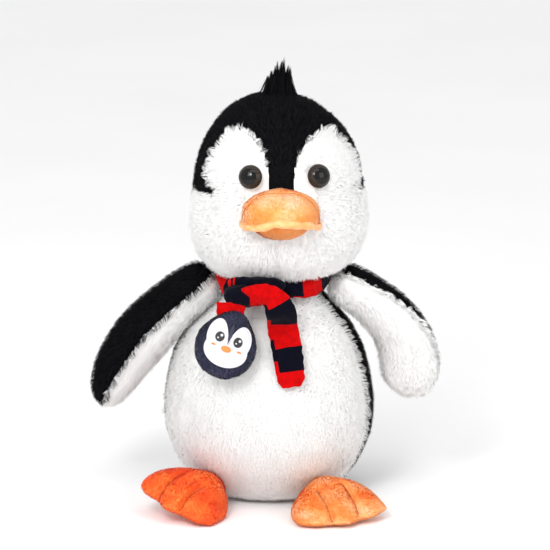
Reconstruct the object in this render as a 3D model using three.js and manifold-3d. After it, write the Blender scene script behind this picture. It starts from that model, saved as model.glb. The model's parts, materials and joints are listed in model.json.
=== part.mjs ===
// A plush penguin, standing on its own base, with a scarf and a small stuffed charm.
// Millimetres, +Z up. The penguin faces -Y. Left and right are the penguin's own: its left is +X.
// The origin is on the floor, under the middle of the whole toy.

import * as THREE from 'three';
import { mergeVertices } from 'three/addons/utils/BufferGeometryUtils.js';
import Module from 'manifold-3d';

const wasm = await Module();
wasm.setup();

// ---------------------------------------------------------------- driving dimensions

const GAP = 0.3; // kept between neighbouring pieces
const CLOTH = 3; // plush cloth, backing and pile root together
const VELBOA = 2; // the shorter cloth of the feet, beak and charm
const STUFFING_ROOM = 1; // between cloth and stuffing, more than the facets' own depth
const FAR = 400; // beyond the toy on every side

// How finely the curved faces are cut, round and up.
const BODY_FACETS = [28, 12];
const HEAD_FACETS = [28, 16];
const LINING_FACETS = [22, 13];
const STUFFING_FACETS = [20, 10];
const LOOP_FACETS = [28, 3];

// Each section of the body and head: height, half width, depth in front, depth behind, centre's X.
const BODY_SECTIONS = [
  [0, 42, 42, 40, 0],
  [4, 51.5, 52, 47, 0],
  [11, 60, 61, 55, 0],
  [21, 67, 69, 61, 0],
  [32, 73, 75.5, 66, 0],
  [47, 79, 80, 69, 0],
  [69, 81, 81, 70, 0],
  [91, 78, 77.5, 69, 0],
  [110, 73, 71.5, 65, 0],
  [128, 63.5, 62, 58.5, 1],
  [143, 49, 50, 47, 2.5],
  [153, 38.5, 39.5, 38, 3.5],
  [160, 34, 34, 33, 3.5],
];
const HEAD_SECTIONS = [
  [165.5, 33, 34, 33, 3.5],
  [167.5, 42, 46, 40, 4],
  [173, 53, 55, 47, 5.5],
  [182, 61, 60.5, 54, 6.5],
  [196, 67, 63.5, 59, 7],
  [212, 70, 63.5, 61.5, 7],
  [224, 68, 62, 62.5, 7],
  [233, 63.5, 60.5, 63, 7],
  [246, 62.3, 59, 62.5, 7],
  [262, 58, 55, 59.5, 7],
  [278, 49.5, 46.5, 51.5, 6.4],
  [291, 37, 35, 39, 4.5],
  [300.5, 22, 21, 24, 4],
  [304.5, 0, 0, 0, 4],
];

const BELLY_SEAM_RIGHT = -84; // degrees round from the front
const BELLY_SEAM_LEFT = 70;
const BASE_THICKNESS = 3;

const NECK_CENTRE = new THREE.Vector3(3.5, 0, 162.7);
const NECK_RADIUS = 28;

const HEAD_X = 7; // the face's own middle
const CHIN_SEAM_X = 4.5;
const CROWN_SEAM_Y = 2;
const CHEEK_BACK_Y = 14;
const CHEEK_TOP = 233;
const NECK_OPENING = 1.5; // how far the head's hollow runs out through its underside

// The white eye patches' outlines in X and Z, seen from the front.
const RIGHT_PATCH = [[-21.5, 284.5], [-37.5, 275], [-47.5, 258], [-49, 240], [-30, 229], [-5, 230],
  [-2, 246], [-5, 267], [-12, 281]];
const LEFT_PATCH = [[42, 284], [58, 272], [68, 254], [71, 236], [45, 229], [21, 230], [20.5, 246],
  [22.5, 262], [30, 277]];

// The crown's tuft: how far each lock leans to the side and back, its height and its root's radius.
const TUFT_ROOT = new THREE.Vector3(7, 2, 298);
const TUFT_LOCKS = [[-3, 1, 33, 4.6], [5, -1, 35, 5], [9, 2, 29, 3.8], [-9, 0, 28, 3.8], [1, 6, 29, 4.4]];
const TUFT_ROOT_SPREAD = 0.35; // share of a lock's lean already there at its root

const EYE_RADIUS = 9;
const EYE_DOME = 6.5;
const EYE_SHANK_RADIUS = 2.2;
const EYE_SHANK_LENGTH = 9;
const EYE_HEIGHT = 250.5;
const EYE_X = { right: -13.2, left: 36 };
const EYE_LIFT = 1; // the flange stands on the pile
const EYE_RIM = 1.2;
const EYE_ROOM_ABOVE = 6;
const EYE_ROOM_DEPTH = 12;
const WASHER_RADIUS = 6.5;
const WASHER_THICKNESS = 1.5;
const WASHER_DEPTH = 4.8; // from the head's surface to the washer

const BEAK_CENTRE = new THREE.Vector3(8.7, -58, 224);
const UPPER_BILL = [29.5, 39, 23]; // half width, reach, height
const LOWER_BILL = [23, 31, 19];
const LIP = [30.5, 40.5, 3];

// A wing's spine, with its size and twist at each point of the spine. Tilt turns the front seam
// from the wing's upper edge towards the front.
const LEFT_WING = {
  spine: [[50, -2, 169], [84, -9, 145], [101, -13, 120], [106, -16, 100], [106, -18, 71]],
  halfChord: [18, 22, 24, 25, 22],
  halfThickness: [17, 18, 18, 17, 14],
  tilt: [60, 48, 30, 15, 5],
};
const RIGHT_WING = {
  spine: [[-44, 1, 169], [-75, -3, 141], [-101, -6, 113], [-117, -8, 88], [-126, -9, 62]],
  halfChord: [17, 24, 26, 23, 16],
  halfThickness: [19, 22, 22, 18, 12],
  tilt: [95, 97, 100, 102, 102],
};
const WING_TIP_ROUND = 0.2; // share of the spine over which each end rounds off
const WING_ROOT_ROUND = 0.08;
const WING_MIDDLE = 0.4;
const WING_ROOM = 2.5; // between a wing's root and what it rests against

const LEFT_FOOT = { ankle: [41, -65, 8], yaw: 20, spread: 52, roll: -2, pitch: 5 };
const RIGHT_FOOT = { ankle: [-47, -60, 11], yaw: -36, spread: 48, roll: 16, pitch: 9 };
const FOOT_REACH = 46; // ankle to the valleys between the toes
const TOE_LENGTH = 9;
const FOOT_HEEL = 15;
const FOOT_RIM = 4;
const FOOT_CROWN = 15;
const FOOT_ROOM = 1.2; // between the body and a foot's ankle

const SCARF_LOW = 146;
const SCARF_HIGH = 158;
const SCARF_THICKNESS = 7;
const LOOP_SIDE_RISE = 5;
const LOOP_BACK_DROP = 3;
const KNOT_CENTRE = new THREE.Vector3(-7, -64, 164);
const KNOT_SIZE = [24, 10, 10.5];
const KNOT_ROOM = 3; // between the knot and the chin
const TAIL_WIDTH = 21;
const TAIL_THICKNESS = 5;
const TAIL_TOP = 145;
const TAIL_BOTTOM = 98;
const TAIL_TOP_X = 6;
const TAIL_BOTTOM_X = 15;
const TAIL_LIFT = 2; // the pile between the tail and the belly
const TAIL_BEND = 10; // height over which the tail comes forward to pass the loop

const CHARM_CENTRE = new THREE.Vector3(-31, -78, 130.5);
const CHARM_HALF_WIDTH = 23.5;
const CHARM_HALF_HEIGHT = 27;
const CHARM_FRONT = 11;
const CHARM_BACK = 7;
const CHARM_TILT = 20;
const CHARM_LEAN = -19;
const PATCH_THICKNESS = 1;
const PATCH_SIZE = 0.53; // share of the way from the charm's middle to its edge
const PATCH_NOTCH = 0.12; // between the face patch's two lobes
const TAB_CENTRE = [-27, -61, 150];
const TAB_SIZE = [8, 2.5, 12];

// ---------------------------------------------------------------- materials

function cloth(colour) {
  return new THREE.MeshStandardMaterial({ color: colour, roughness: 0.95, metalness: 0 });
}

const WHITE_PLUSH = 0xf4f2ee;
const BLACK_PLUSH = 0x121214;
const STUFFING = 0xe9e9e6;
const ORANGE_VELBOA = 0xf06a14;
const BEAK_VELBOA = 0xf79a55;
const SCARF_RED = 0xb81414;
const NAVY_VELBOA = 0x1d1f3a;
const EYE_PLASTIC = 0x1a1412;
const WASHER_PLASTIC = 0xd8d8d4;

// ---------------------------------------------------------------- solids

const radians = THREE.MathUtils.degToRad;

// Turns a list of triangles' corners into one closed geometry whose faces point out.
function closedGeometry(corners) {
  const soup = new THREE.BufferGeometry();
  soup.setAttribute('position', new THREE.Float32BufferAttribute(corners, 3));
  const merged = mergeVertices(soup, 1e-3);
  const index = merged.index.array;
  const kept = [];
  for (let i = 0; i < index.length; i += 3) {
    const [a, b, c] = [index[i], index[i + 1], index[i + 2]];
    if (a !== b && b !== c && c !== a) kept.push(a, b, c);
  }
  merged.setIndex(kept);
  if (signedVolume(merged) < 0) kept.reverse();
  merged.setIndex(kept);
  return merged;
}

function signedVolume(geometry) {
  const position = geometry.attributes.position;
  const index = geometry.index.array;
  const corner = [new THREE.Vector3(), new THREE.Vector3(), new THREE.Vector3()];
  let volume = 0;
  for (let i = 0; i < index.length; i += 3) {
    corner.forEach((point, k) => point.fromBufferAttribute(position, index[i + k]));
    volume += corner[0].dot(corner[1].cross(corner[2])) / 6;
  }
  return volume;
}

function addQuad(corners, a, b, c, d) {
  for (const point of [a, b, c, a, c, d]) corners.push(point.x, point.y, point.z);
}

// A sheet of cloth: the solid between an outer and an inner surface over the same (u, v) square.
function sheetSolid(outer, inner, columns, rows, closed = false) {
  const corners = [];
  const out = (i, j) => outer(i / columns, j / rows);
  const inn = (i, j) => inner(i / columns, j / rows);
  for (let i = 0; i < columns; i += 1) {
    for (let j = 0; j < rows; j += 1) {
      addQuad(corners, out(i, j), out(i + 1, j), out(i + 1, j + 1), out(i, j + 1));
      addQuad(corners, inn(i, j), inn(i, j + 1), inn(i + 1, j + 1), inn(i + 1, j));
    }
    addQuad(corners, inn(i, 0), inn(i + 1, 0), out(i + 1, 0), out(i, 0));
    addQuad(corners, out(i, rows), out(i + 1, rows), inn(i + 1, rows), inn(i, rows));
  }
  for (let j = 0; j < rows && !closed; j += 1) {
    addQuad(corners, out(0, j), out(0, j + 1), inn(0, j + 1), inn(0, j));
    addQuad(corners, inn(columns, j), inn(columns, j + 1), out(columns, j + 1), out(columns, j));
  }
  return closedGeometry(corners);
}

// A filled form: rings of a surface that closes round u, with its two ends capped.
function filledSolid(surface, columns, rows) {
  const corners = [];
  const at = (i, j) => surface(i / columns, j / rows);
  const middle = (j) => {
    const sum = new THREE.Vector3();
    for (let i = 0; i < columns; i += 1) sum.add(at(i, j));
    return sum.divideScalar(columns);
  };
  const [first, last] = [middle(0), middle(rows)];
  for (let i = 0; i < columns; i += 1) {
    for (let j = 0; j < rows; j += 1) {
      addQuad(corners, at(i, j), at(i + 1, j), at(i + 1, j + 1), at(i, j + 1));
    }
    addQuad(corners, first, first, at(i + 1, 0), at(i, 0));
    addQuad(corners, at(i, rows), at(i + 1, rows), last, last);
  }
  return closedGeometry(corners);
}

function toManifold(geometry) {
  const bare = geometry.clone();
  bare.deleteAttribute('normal');
  bare.deleteAttribute('uv');
  const merged = mergeVertices(bare, 1e-4);
  return new wasm.Manifold(new wasm.Mesh({
    numProp: 3,
    vertProperties: new Float32Array(merged.attributes.position.array),
    triVerts: new Uint32Array(merged.index.array),
  }));
}

function toGeometry(manifold) {
  const mesh = manifold.getMesh();
  const corners = Array.from(mesh.vertProperties);
  const geometry = new THREE.BufferGeometry();
  geometry.setAttribute('position', new THREE.Float32BufferAttribute(corners, 3));
  geometry.setIndex(Array.from(mesh.triVerts));
  return geometry;
}

function box(low, high) {
  const size = new THREE.Vector3().subVectors(high, low);
  const at = new THREE.Vector3().addVectors(low, high).multiplyScalar(0.5);
  return toManifold(new THREE.BoxGeometry(size.x, size.y, size.z).translate(at.x, at.y, at.z));
}

function ellipsoid(centre, size, inset = 0, facets = [20, 12]) {
  const geometry = new THREE.SphereGeometry(1, ...facets);
  geometry.scale(size[0] - inset, size[1] - inset, size[2] - inset);
  return toManifold(geometry.translate(centre.x, centre.y, centre.z));
}

// A prism along Y whose outline is a smooth closed curve through points in X and Z.
function prismAlongY(points, nearY, farY, grow = 0) {
  const loop = [...points, points[0]].map(([x, z]) => new THREE.Vector2(x, z));
  const outline = new THREE.SplineCurve(loop).getPoints(points.length * 3).slice(0, -1);
  const centre = new THREE.Vector2();
  for (const point of outline) centre.addScaledVector(point, 1 / outline.length);
  for (const point of outline) {
    const out = point.clone().sub(centre).normalize();
    point.addScaledVector(out, grow);
  }
  const geometry = new THREE.ExtrudeGeometry(new THREE.Shape(outline), {
    depth: farY - nearY,
    bevelEnabled: false,
  });
  geometry.rotateX(Math.PI / 2);
  return toManifold(geometry.translate(0, farY, 0));
}

// ---------------------------------------------------------------- body and head surfaces

// Returns the point at an angle round from the front and a fraction of the way up the sections.
function sectionSurface(sections) {
  const widths = new THREE.CatmullRomCurve3(
    sections.map(([z, width, front]) => new THREE.Vector3(z, width, front)), false, 'catmullrom', 0.5);
  const depths = new THREE.CatmullRomCurve3(
    sections.map(([z, , , back, x]) => new THREE.Vector3(z, back, x)), false, 'catmullrom', 0.5);
  return (angle, t, inset = 0, sink = 0) => {
    const [z, width, front] = widths.getPoint(t).toArray();
    const [, back, centreX] = depths.getPoint(t).toArray();
    const depth = Math.cos(angle) > 0 ? front : back;
    return new THREE.Vector3(
      centreX + Math.max(width - inset, 0) * Math.sin(angle),
      -Math.max(depth - inset, 0) * Math.cos(angle),
      z - inset * t * t - sink * (1 - t));
  };
}

const bodySurface = sectionSurface(BODY_SECTIONS);
const headSurface = sectionSurface(HEAD_SECTIONS);

// How far up a surface's sections a height is.
function heightFraction(surface, height) {
  let low = 0;
  let high = 1;
  for (let step = 0; step < 24; step += 1) {
    const halfway = (low + high) / 2;
    if (surface(0, halfway).z < height) low = halfway;
    else high = halfway;
  }
  return low;
}

// The body's point at a height, moved out along the surface's normal.
function bodyAtHeight(angle, height, out = 0) {
  return pushedOut(bodySurface, angle, heightFraction(bodySurface, height), out);
}

// A surface point moved along its outward normal.
function pushedOut(surface, angle, t, out) {
  const step = 1e-3;
  const point = surface(angle, t);
  const across = surface(angle + step, t).sub(surface(angle - step, t));
  const up = surface(angle, Math.min(t + step, 1)).sub(surface(angle, Math.max(t - step, 0)));
  return point.addScaledVector(across.cross(up).normalize(), out);
}

function headSolid(inset, sink = 0, facets = HEAD_FACETS) {
  return toManifold(filledSolid((u, v) => headSurface(u * 2 * Math.PI, v, inset, sink), ...facets));
}

function bodyGrown(out) {
  return toManifold(filledSolid((u, v) => pushedOut(bodySurface, u * 2 * Math.PI, v, out), ...BODY_FACETS));
}

// ---------------------------------------------------------------- body

function bodyPanel(from, to, shiftY, columns) {
  const angle = (u) => radians(from + (to - from) * u);
  const outer = (u, v) => bodySurface(angle(u), v).add(new THREE.Vector3(0, shiftY, 0));
  const inner = (u, v) => {
    const point = bodySurface(angle(u), v, CLOTH).add(new THREE.Vector3(0, shiftY, 0));
    point.z = bodySurface(angle(u), v).z;
    return point;
  };
  return sheetSolid(outer, inner, columns, BODY_FACETS[1]);
}

function basePanel() {
  const edge = CLOTH + GAP;
  return filledSolid((u, v) => {
    const point = bodySurface(u * 2 * Math.PI, 0, edge);
    point.z = v * BASE_THICKNESS;
    return point;
  }, BODY_FACETS[0], 1);
}

function neckBall(grow) {
  const size = NECK_RADIUS + grow;
  return ellipsoid(NECK_CENTRE, [size, size, size], 0, [16, 10]);
}

function bodyStuffing() {
  const whole = toManifold(filledSolid((u, v) => {
    const point = bodySurface(u * 2 * Math.PI, v, CLOTH + 1.5 * STUFFING_ROOM);
    point.z = bodySurface(0, v).z;
    return point;
  }, ...STUFFING_FACETS));
  const floor = box(new THREE.Vector3(-FAR, -FAR, -FAR), new THREE.Vector3(FAR, FAR, BASE_THICKNESS + GAP));
  return toGeometry(whole.subtract(floor).subtract(neckBall(STUFFING_ROOM)));
}

// ---------------------------------------------------------------- head

// Everything in front of the cheeks' back edge and below their top edge.
function cheekBlock(grow) {
  return box(new THREE.Vector3(-FAR, -FAR, 0), new THREE.Vector3(FAR, CHEEK_BACK_Y + grow, CHEEK_TOP + grow));
}

// The point of the head's surface under an eye, and the way out of it.
function eyeFrame(side) {
  const t = heightFraction(headSurface, EYE_HEIGHT);
  const halfWidth = headSurface(Math.PI / 2, t).x - HEAD_X;
  const angle = Math.asin((EYE_X[side] - HEAD_X) / halfWidth);
  const probe = headSurface(angle, t);
  const out = pushedOut(headSurface, angle, t, 1).sub(probe);
  return { probe, out };
}

// Places a lathe solid, turned about its own +Y, so that +Y points out of the head at the eye.
function placedAtEye(geometry, side, lift) {
  const { probe, out } = eyeFrame(side);
  const turn = new THREE.Quaternion().setFromUnitVectors(new THREE.Vector3(0, 1, 0), out);
  geometry.applyQuaternion(turn);
  const at = probe.addScaledVector(out, lift);
  return geometry.translate(at.x, at.y, at.z);
}

function eyeSolid(side) {
  const crown = new THREE.EllipseCurve(0, EYE_RIM, EYE_RADIUS, EYE_DOME - EYE_RIM, 0, Math.PI / 2);
  const profile = [
    new THREE.Vector2(0, -EYE_SHANK_LENGTH),
    new THREE.Vector2(EYE_SHANK_RADIUS, -EYE_SHANK_LENGTH),
    new THREE.Vector2(EYE_SHANK_RADIUS, 0),
    new THREE.Vector2(EYE_RADIUS, 0),
    ...crown.getPoints(5),
  ];
  profile.at(-1).x = 0;
  return toGeometry(toManifold(placedAtEye(new THREE.LatheGeometry(profile, 16), side, EYE_LIFT)));
}

function eyeWasher(side) {
  const hole = EYE_SHANK_RADIUS + GAP;
  const top = -WASHER_DEPTH - EYE_LIFT;
  const profile = [
    new THREE.Vector2(hole, top - WASHER_THICKNESS),
    new THREE.Vector2(WASHER_RADIUS, top - WASHER_THICKNESS),
    new THREE.Vector2(WASHER_RADIUS, top),
    new THREE.Vector2(hole, top),
    new THREE.Vector2(hole, top - WASHER_THICKNESS),
  ];
  return toGeometry(toManifold(placedAtEye(new THREE.LatheGeometry(profile, 14), side, EYE_LIFT)));
}

// The hole through the cloth for a shank, or the room in the stuffing for a washer.
function eyeRoom(side, radius) {
  const room = new THREE.CylinderGeometry(radius, radius, EYE_ROOM_ABOVE + EYE_ROOM_DEPTH, 16);
  room.translate(0, (EYE_ROOM_ABOVE - EYE_ROOM_DEPTH) / 2, 0);
  return toManifold(placedAtEye(room, side, 0));
}

function headPanels() {
  const half = GAP / 2;
  const shankRoom = EYE_SHANK_RADIUS + GAP;
  const washerRoom = WASHER_RADIUS + STUFFING_ROOM;
  const shell = headSolid(0)
    .subtract(headSolid(CLOTH, NECK_OPENING, LINING_FACETS))
    .subtract(eyeRoom('left', shankRoom))
    .subtract(eyeRoom('right', shankRoom));
  const patch = (outline, grow) => prismAlongY(outline, -FAR, 0, grow);
  const low = new THREE.Vector3(-FAR, -FAR, 0);
  const high = new THREE.Vector3(FAR, FAR, FAR);
  const rightSide = box(low, new THREE.Vector3(CHIN_SEAM_X - half, FAR, FAR));
  const leftSide = box(new THREE.Vector3(CHIN_SEAM_X + half, -FAR, 0), high);
  const frontSide = box(low, new THREE.Vector3(FAR, CROWN_SEAM_Y - half, FAR));
  const backSide = box(new THREE.Vector3(-FAR, CROWN_SEAM_Y + half, 0), high);
  const cheeks = shell.intersect(cheekBlock(-half));
  const upper = shell.subtract(cheekBlock(half));
  const black = upper.subtract(patch(RIGHT_PATCH, half)).subtract(patch(LEFT_PATCH, half));
  const stuffing = headSolid(CLOTH + 2 * STUFFING_ROOM, 0, STUFFING_FACETS)
    .subtract(eyeRoom('left', washerRoom))
    .subtract(eyeRoom('right', washerRoom))
    .subtract(neckBall(STUFFING_ROOM));
  return {
    cheek_panel_right: cheeks.intersect(rightSide),
    cheek_panel_left: cheeks.intersect(leftSide),
    eye_patch_right: upper.intersect(patch(RIGHT_PATCH, -half)),
    eye_patch_left: upper.intersect(patch(LEFT_PATCH, -half)),
    crown_panel: black.intersect(frontSide),
    head_back_panel: black.intersect(backSide),
    head_stuffing: stuffing,
  };
}

// Long pile, drawn together into pointed locks that lean apart.
function tuft() {
  const lock = ([leanX, leanY, height, radius]) => toManifold(filledSolid((u, v) => {
    const angle = u * 2 * Math.PI;
    const size = radius * (1 - v) ** 0.7;
    const lean = THREE.MathUtils.lerp(TUFT_ROOT_SPREAD, 1, v);
    return new THREE.Vector3(
      TUFT_ROOT.x + leanX * lean + size * Math.cos(angle),
      TUFT_ROOT.y + leanY * lean + size * Math.sin(angle),
      TUFT_ROOT.z + height * v);
  }, 6, 4));
  const whole = TUFT_LOCKS.map(lock).reduce((sum, next) => sum.add(next));
  return toGeometry(whole.subtract(headSolid(-GAP)));
}

// ---------------------------------------------------------------- beak

function beakPieces() {
  const head = headSolid(-GAP);
  const lipUnderside = BEAK_CENTRE.z - LIP[2] - GAP;
  const above = box(new THREE.Vector3(-FAR, -FAR, BEAK_CENTRE.z), new THREE.Vector3(FAR, 0, FAR));
  const below = box(new THREE.Vector3(-FAR, -FAR, 0), new THREE.Vector3(FAR, 0, lipUnderside));
  const lip = toManifold(filledSolid((u, v) => {
    const angle = u * 2 * Math.PI;
    return new THREE.Vector3(
      BEAK_CENTRE.x + LIP[0] * Math.cos(angle),
      BEAK_CENTRE.y + LIP[1] * Math.sin(angle),
      BEAK_CENTRE.z - LIP[2] * (1 - v));
  }, 24, 1));
  const bill = (size, inset = 0) => ellipsoid(BEAK_CENTRE, size, inset);
  const filling = VELBOA + GAP;
  const upper = bill(UPPER_BILL).subtract(bill(UPPER_BILL, VELBOA)).intersect(above).add(lip);
  const lower = bill(LOWER_BILL).subtract(bill(LOWER_BILL, VELBOA)).intersect(below);
  return {
    upper_bill: upper.subtract(head),
    upper_bill_stuffing: bill(UPPER_BILL, filling).intersect(above.translate([0, 0, GAP])).subtract(head),
    lower_bill: lower.subtract(head),
    lower_bill_stuffing: bill(LOWER_BILL, filling).intersect(below).subtract(head),
  };
}

// ---------------------------------------------------------------- wings

// A wing's surface: rings round a curved spine. Angle 0 is the front seam, 90 degrees the outer side.
function wingSurface(wing, side) {
  const spine = new THREE.CatmullRomCurve3(wing.spine.map((point) => new THREE.Vector3(...point)));
  const sizes = wing.halfChord.map((chord, i) => new THREE.Vector3(wing.tilt[i], chord, wing.halfThickness[i]));
  const sections = new THREE.CatmullRomCurve3(sizes, false, 'catmullrom', 0.5);
  const rounding = (t) => {
    const end = Math.max(1 - t / WING_ROOT_ROUND, (t - 1 + WING_TIP_ROUND) / WING_TIP_ROUND, 0);
    return Math.sqrt(Math.max(0, 1 - end ** 2));
  };
  return (angle, t, inset = 0) => {
    const along = spine.getTangent(t);
    const outward = new THREE.Vector3(-along.z * side, 0, along.x * side).normalize();
    const forward = new THREE.Vector3(0, -1, 0);
    const [tiltDegrees, halfChord, halfThickness] = sections.getPoint(t).toArray();
    const tilt = radians(tiltDegrees);
    const [level, turned] = [Math.cos(tilt), Math.sin(tilt)];
    const chord = outward.clone().multiplyScalar(level).addScaledVector(forward, turned);
    const normal = outward.clone().multiplyScalar(turned).addScaledVector(forward, -level);
    const round = rounding(t);
    const widest = Math.max(0, (halfChord - inset) * round);
    const thickest = Math.max(0, (halfThickness - inset) * round);
    return spine.getPoint(t)
      .addScaledVector(along, inset * (1 - 2 * t))
      .addScaledVector(chord, widest * Math.cos(angle))
      .addScaledVector(normal, thickest * Math.sin(angle));
  };
}

function wingPieces(wing, side) {
  const surface = wingSurface(wing, side);
  const panel = (from) => {
    const facing = from + Math.PI / 2;
    const away = surface(facing, WING_MIDDLE).sub(surface(facing + Math.PI, WING_MIDDLE)).setLength(GAP);
    const at = (inset) => (u, v) => surface(from + u * Math.PI, v, inset).add(away);
    return sheetSolid(at(0), at(CLOTH), 8, 11);
  };
  const filling = filledSolid((u, v) => surface(u * 2 * Math.PI, v, CLOTH + 2 * STUFFING_ROOM), 12, 9);
  const room = bodyGrown(WING_ROOM).add(loopGrown(WING_ROOM)).add(headSolid(-WING_ROOM));
  return {
    outer: toManifold(panel(0)).subtract(room),
    inner: toManifold(panel(Math.PI)).subtract(room),
    stuffing: toManifold(filling).subtract(room),
  };
}

// ---------------------------------------------------------------- feet

// How far the foot's edge is from the ankle, by the angle from the middle toe.
function footReach(angle, spread) {
  const fan = radians(spread);
  const size = Math.abs(angle);
  if (size <= fan) {
    const toe = Math.abs(Math.cos((1.5 * Math.PI * angle) / fan)) ** 0.6;
    return FOOT_REACH + TOE_LENGTH * toe;
  }
  const back = Math.min(1, (2 * (size - fan)) / (Math.PI - fan));
  return THREE.MathUtils.lerp(FOOT_REACH, FOOT_HEEL, Math.sin((back * Math.PI) / 2));
}

function footPieces(foot) {
  const stance = new THREE.Matrix4()
    .makeRotationFromEuler(new THREE.Euler(radians(foot.pitch), radians(foot.roll), radians(foot.yaw)))
    .setPosition(...foot.ankle);
  // A face of the foot, drawn in by a thickness of cloth. Sign is 1 on top and -1 underneath.
  const face = (sign, rise, thickness, gap) => (u, v) => {
    const angle = (u - 0.5) * 2 * Math.PI;
    const reach = (footReach(angle, foot.spread) - thickness) * v;
    const height = sign * (gap + Math.max(0, rise(v) - thickness));
    return new THREE.Vector3(reach * Math.sin(angle), -reach * Math.cos(angle), height).applyMatrix4(stance);
  };
  const crown = (v) => FOOT_CROWN * (1 - v ** 2.2) ** 0.75;
  const rim = (v) => FOOT_RIM * (1 - v ** 6) ** 0.5;
  const filled = VELBOA + STUFFING_ROOM / 2;
  const [fillTop, fillUnder] = [face(1, crown, filled, 0), face(-1, rim, filled, 0)];
  const columns = 26;
  const upper = sheetSolid(face(1, crown, 0, GAP / 2), face(1, crown, VELBOA, GAP / 2), columns, 4, true);
  const sole = sheetSolid(face(-1, rim, 0, GAP / 2), face(-1, rim, VELBOA, GAP / 2), columns, 3, true);
  const filling = filledSolid((u, v) => (v < 0.5 ? fillUnder(u, v * 2) : fillTop(u, 2 - v * 2)), columns, 6);
  const room = bodyGrown(FOOT_ROOM);
  return {
    upper: toManifold(upper).subtract(room),
    sole: toManifold(sole).subtract(room),
    stuffing: toManifold(filling).subtract(room),
  };
}

// ---------------------------------------------------------------- scarf

// The neck loop's face, a distance out from the body. It dips in front and a little behind.
function loopFace(out, low, high) {
  return (u, v) => {
    const angle = u * 2 * Math.PI;
    const side = LOOP_SIDE_RISE * Math.sin(angle) ** 2 * (1 - v);
    const behind = LOOP_BACK_DROP * (1 - Math.cos(angle)) / 2;
    return bodyAtHeight(angle, THREE.MathUtils.lerp(low, high, v) + side - behind, out);
  };
}

function scarfLoop() {
  const outer = loopFace(2 * GAP + SCARF_THICKNESS, SCARF_LOW, SCARF_HIGH);
  const inner = loopFace(2 * GAP, SCARF_LOW, SCARF_HIGH);
  return sheetSolid(outer, inner, ...LOOP_FACETS, true);
}

// The loop and some room all round it, down into the body.
function loopGrown(out) {
  const [low, high] = [SCARF_LOW - out, SCARF_HIGH + out];
  const outer = loopFace(2 * GAP + SCARF_THICKNESS + out, low, high);
  return toManifold(sheetSolid(outer, loopFace(-CLOTH / 2, low, high), ...LOOP_FACETS, true));
}

function scarfKnot() {
  return ellipsoid(KNOT_CENTRE, KNOT_SIZE, 0, [16, 10])
    .subtract(bodyGrown(2 * GAP))
    .subtract(loopGrown(GAP))
    .subtract(headSolid(-KNOT_ROOM));
}

function scarfTail() {
  const surface = (out) => (u, v) => {
    const height = THREE.MathUtils.lerp(TAIL_BOTTOM, TAIL_TOP, v);
    const x = THREE.MathUtils.lerp(TAIL_BOTTOM_X, TAIL_TOP_X, v) + (u - 0.5) * TAIL_WIDTH;
    const angle = Math.asin(x / bodyAtHeight(Math.PI / 2, height).x);
    const overLoop = THREE.MathUtils.smoothstep(height, SCARF_LOW - TAIL_BEND, SCARF_LOW);
    return bodyAtHeight(angle, height, out + overLoop * SCARF_THICKNESS);
  };
  return sheetSolid(surface(TAIL_LIFT + TAIL_THICKNESS), surface(TAIL_LIFT), 3, 8);
}

// ---------------------------------------------------------------- charm

const CHARM_PLACE = new THREE.Matrix4()
  .makeRotationFromEuler(new THREE.Euler(radians(CHARM_LEAN), radians(CHARM_TILT), 0, 'YXZ'))
  .setPosition(CHARM_CENTRE);

// The charm's surface: v runs from the middle to the edge, and dome is how far it stands out.
function charmSurface(dome, size = 1, lift = 0) {
  return (u, v) => {
    const angle = u * 2 * Math.PI;
    const edge = Math.sin((v * Math.PI) / 2) * size;
    const rise = dome * Math.sqrt(Math.max(0, 1 - edge ** 2.6));
    return new THREE.Vector3(
      CHARM_HALF_WIDTH * edge * Math.cos(angle) * (1 - 0.1 * Math.sin(angle)),
      -rise - lift,
      CHARM_HALF_HEIGHT * edge * Math.sin(angle)).applyMatrix4(CHARM_PLACE);
  };
}

function charmPieces() {
  const thin = 1 - VELBOA / CHARM_HALF_WIDTH;
  const front = charmSurface(CHARM_FRONT, 1, GAP / 2);
  const frontInner = charmSurface(CHARM_FRONT - VELBOA, thin, GAP / 2);
  const back = charmSurface(-CHARM_BACK, 1, -GAP / 2);
  const backInner = charmSurface(-CHARM_BACK + VELBOA, thin, -GAP / 2);
  const fill = thin - 0.05;
  const fillFront = charmSurface(CHARM_FRONT - VELBOA - STUFFING_ROOM, fill);
  const fillBack = charmSurface(-CHARM_BACK + VELBOA + STUFFING_ROOM, fill);
  const patch = (lift) => (u, v) => {
    const lobes = PATCH_SIZE - PATCH_NOTCH * Math.max(0, Math.sin(u * 2 * Math.PI)) ** 8;
    return charmSurface(CHARM_FRONT, 1, GAP * 1.5 + lift)(u, v * lobes);
  };
  return {
    charm_front: sheetSolid(front, frontInner, 22, 4, true),
    charm_back: sheetSolid(back, backInner, 22, 4, true),
    charm_face_patch: sheetSolid(patch(PATCH_THICKNESS), patch(GAP / 2), 22, 2, true),
    charm_stuffing: filledSolid((u, v) => (v < 0.5 ? fillBack(u, v * 2) : fillFront(u, 2 - v * 2)), 18, 6),
  };
}

function charmTab() {
  return new THREE.BoxGeometry(...TAB_SIZE).translate(...TAB_CENTRE);
}

// ---------------------------------------------------------------- assembly

const penguin = new THREE.Group();

function place(name, shape, colour) {
  const geometry = shape.isBufferGeometry ? shape : toGeometry(shape);
  const mesh = new THREE.Mesh(geometry, cloth(colour));
  mesh.name = name;
  penguin.add(mesh);
}

place('belly_panel', bodyPanel(BELLY_SEAM_RIGHT, BELLY_SEAM_LEFT, -GAP / 2, 11), WHITE_PLUSH);
place('back_panel', bodyPanel(BELLY_SEAM_LEFT, BELLY_SEAM_RIGHT + 360, GAP / 2, 14), BLACK_PLUSH);
place('base_panel', basePanel(), BLACK_PLUSH);
place('body_stuffing', bodyStuffing(), STUFFING);
place('neck_stuffing', neckBall(0), STUFFING);

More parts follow.
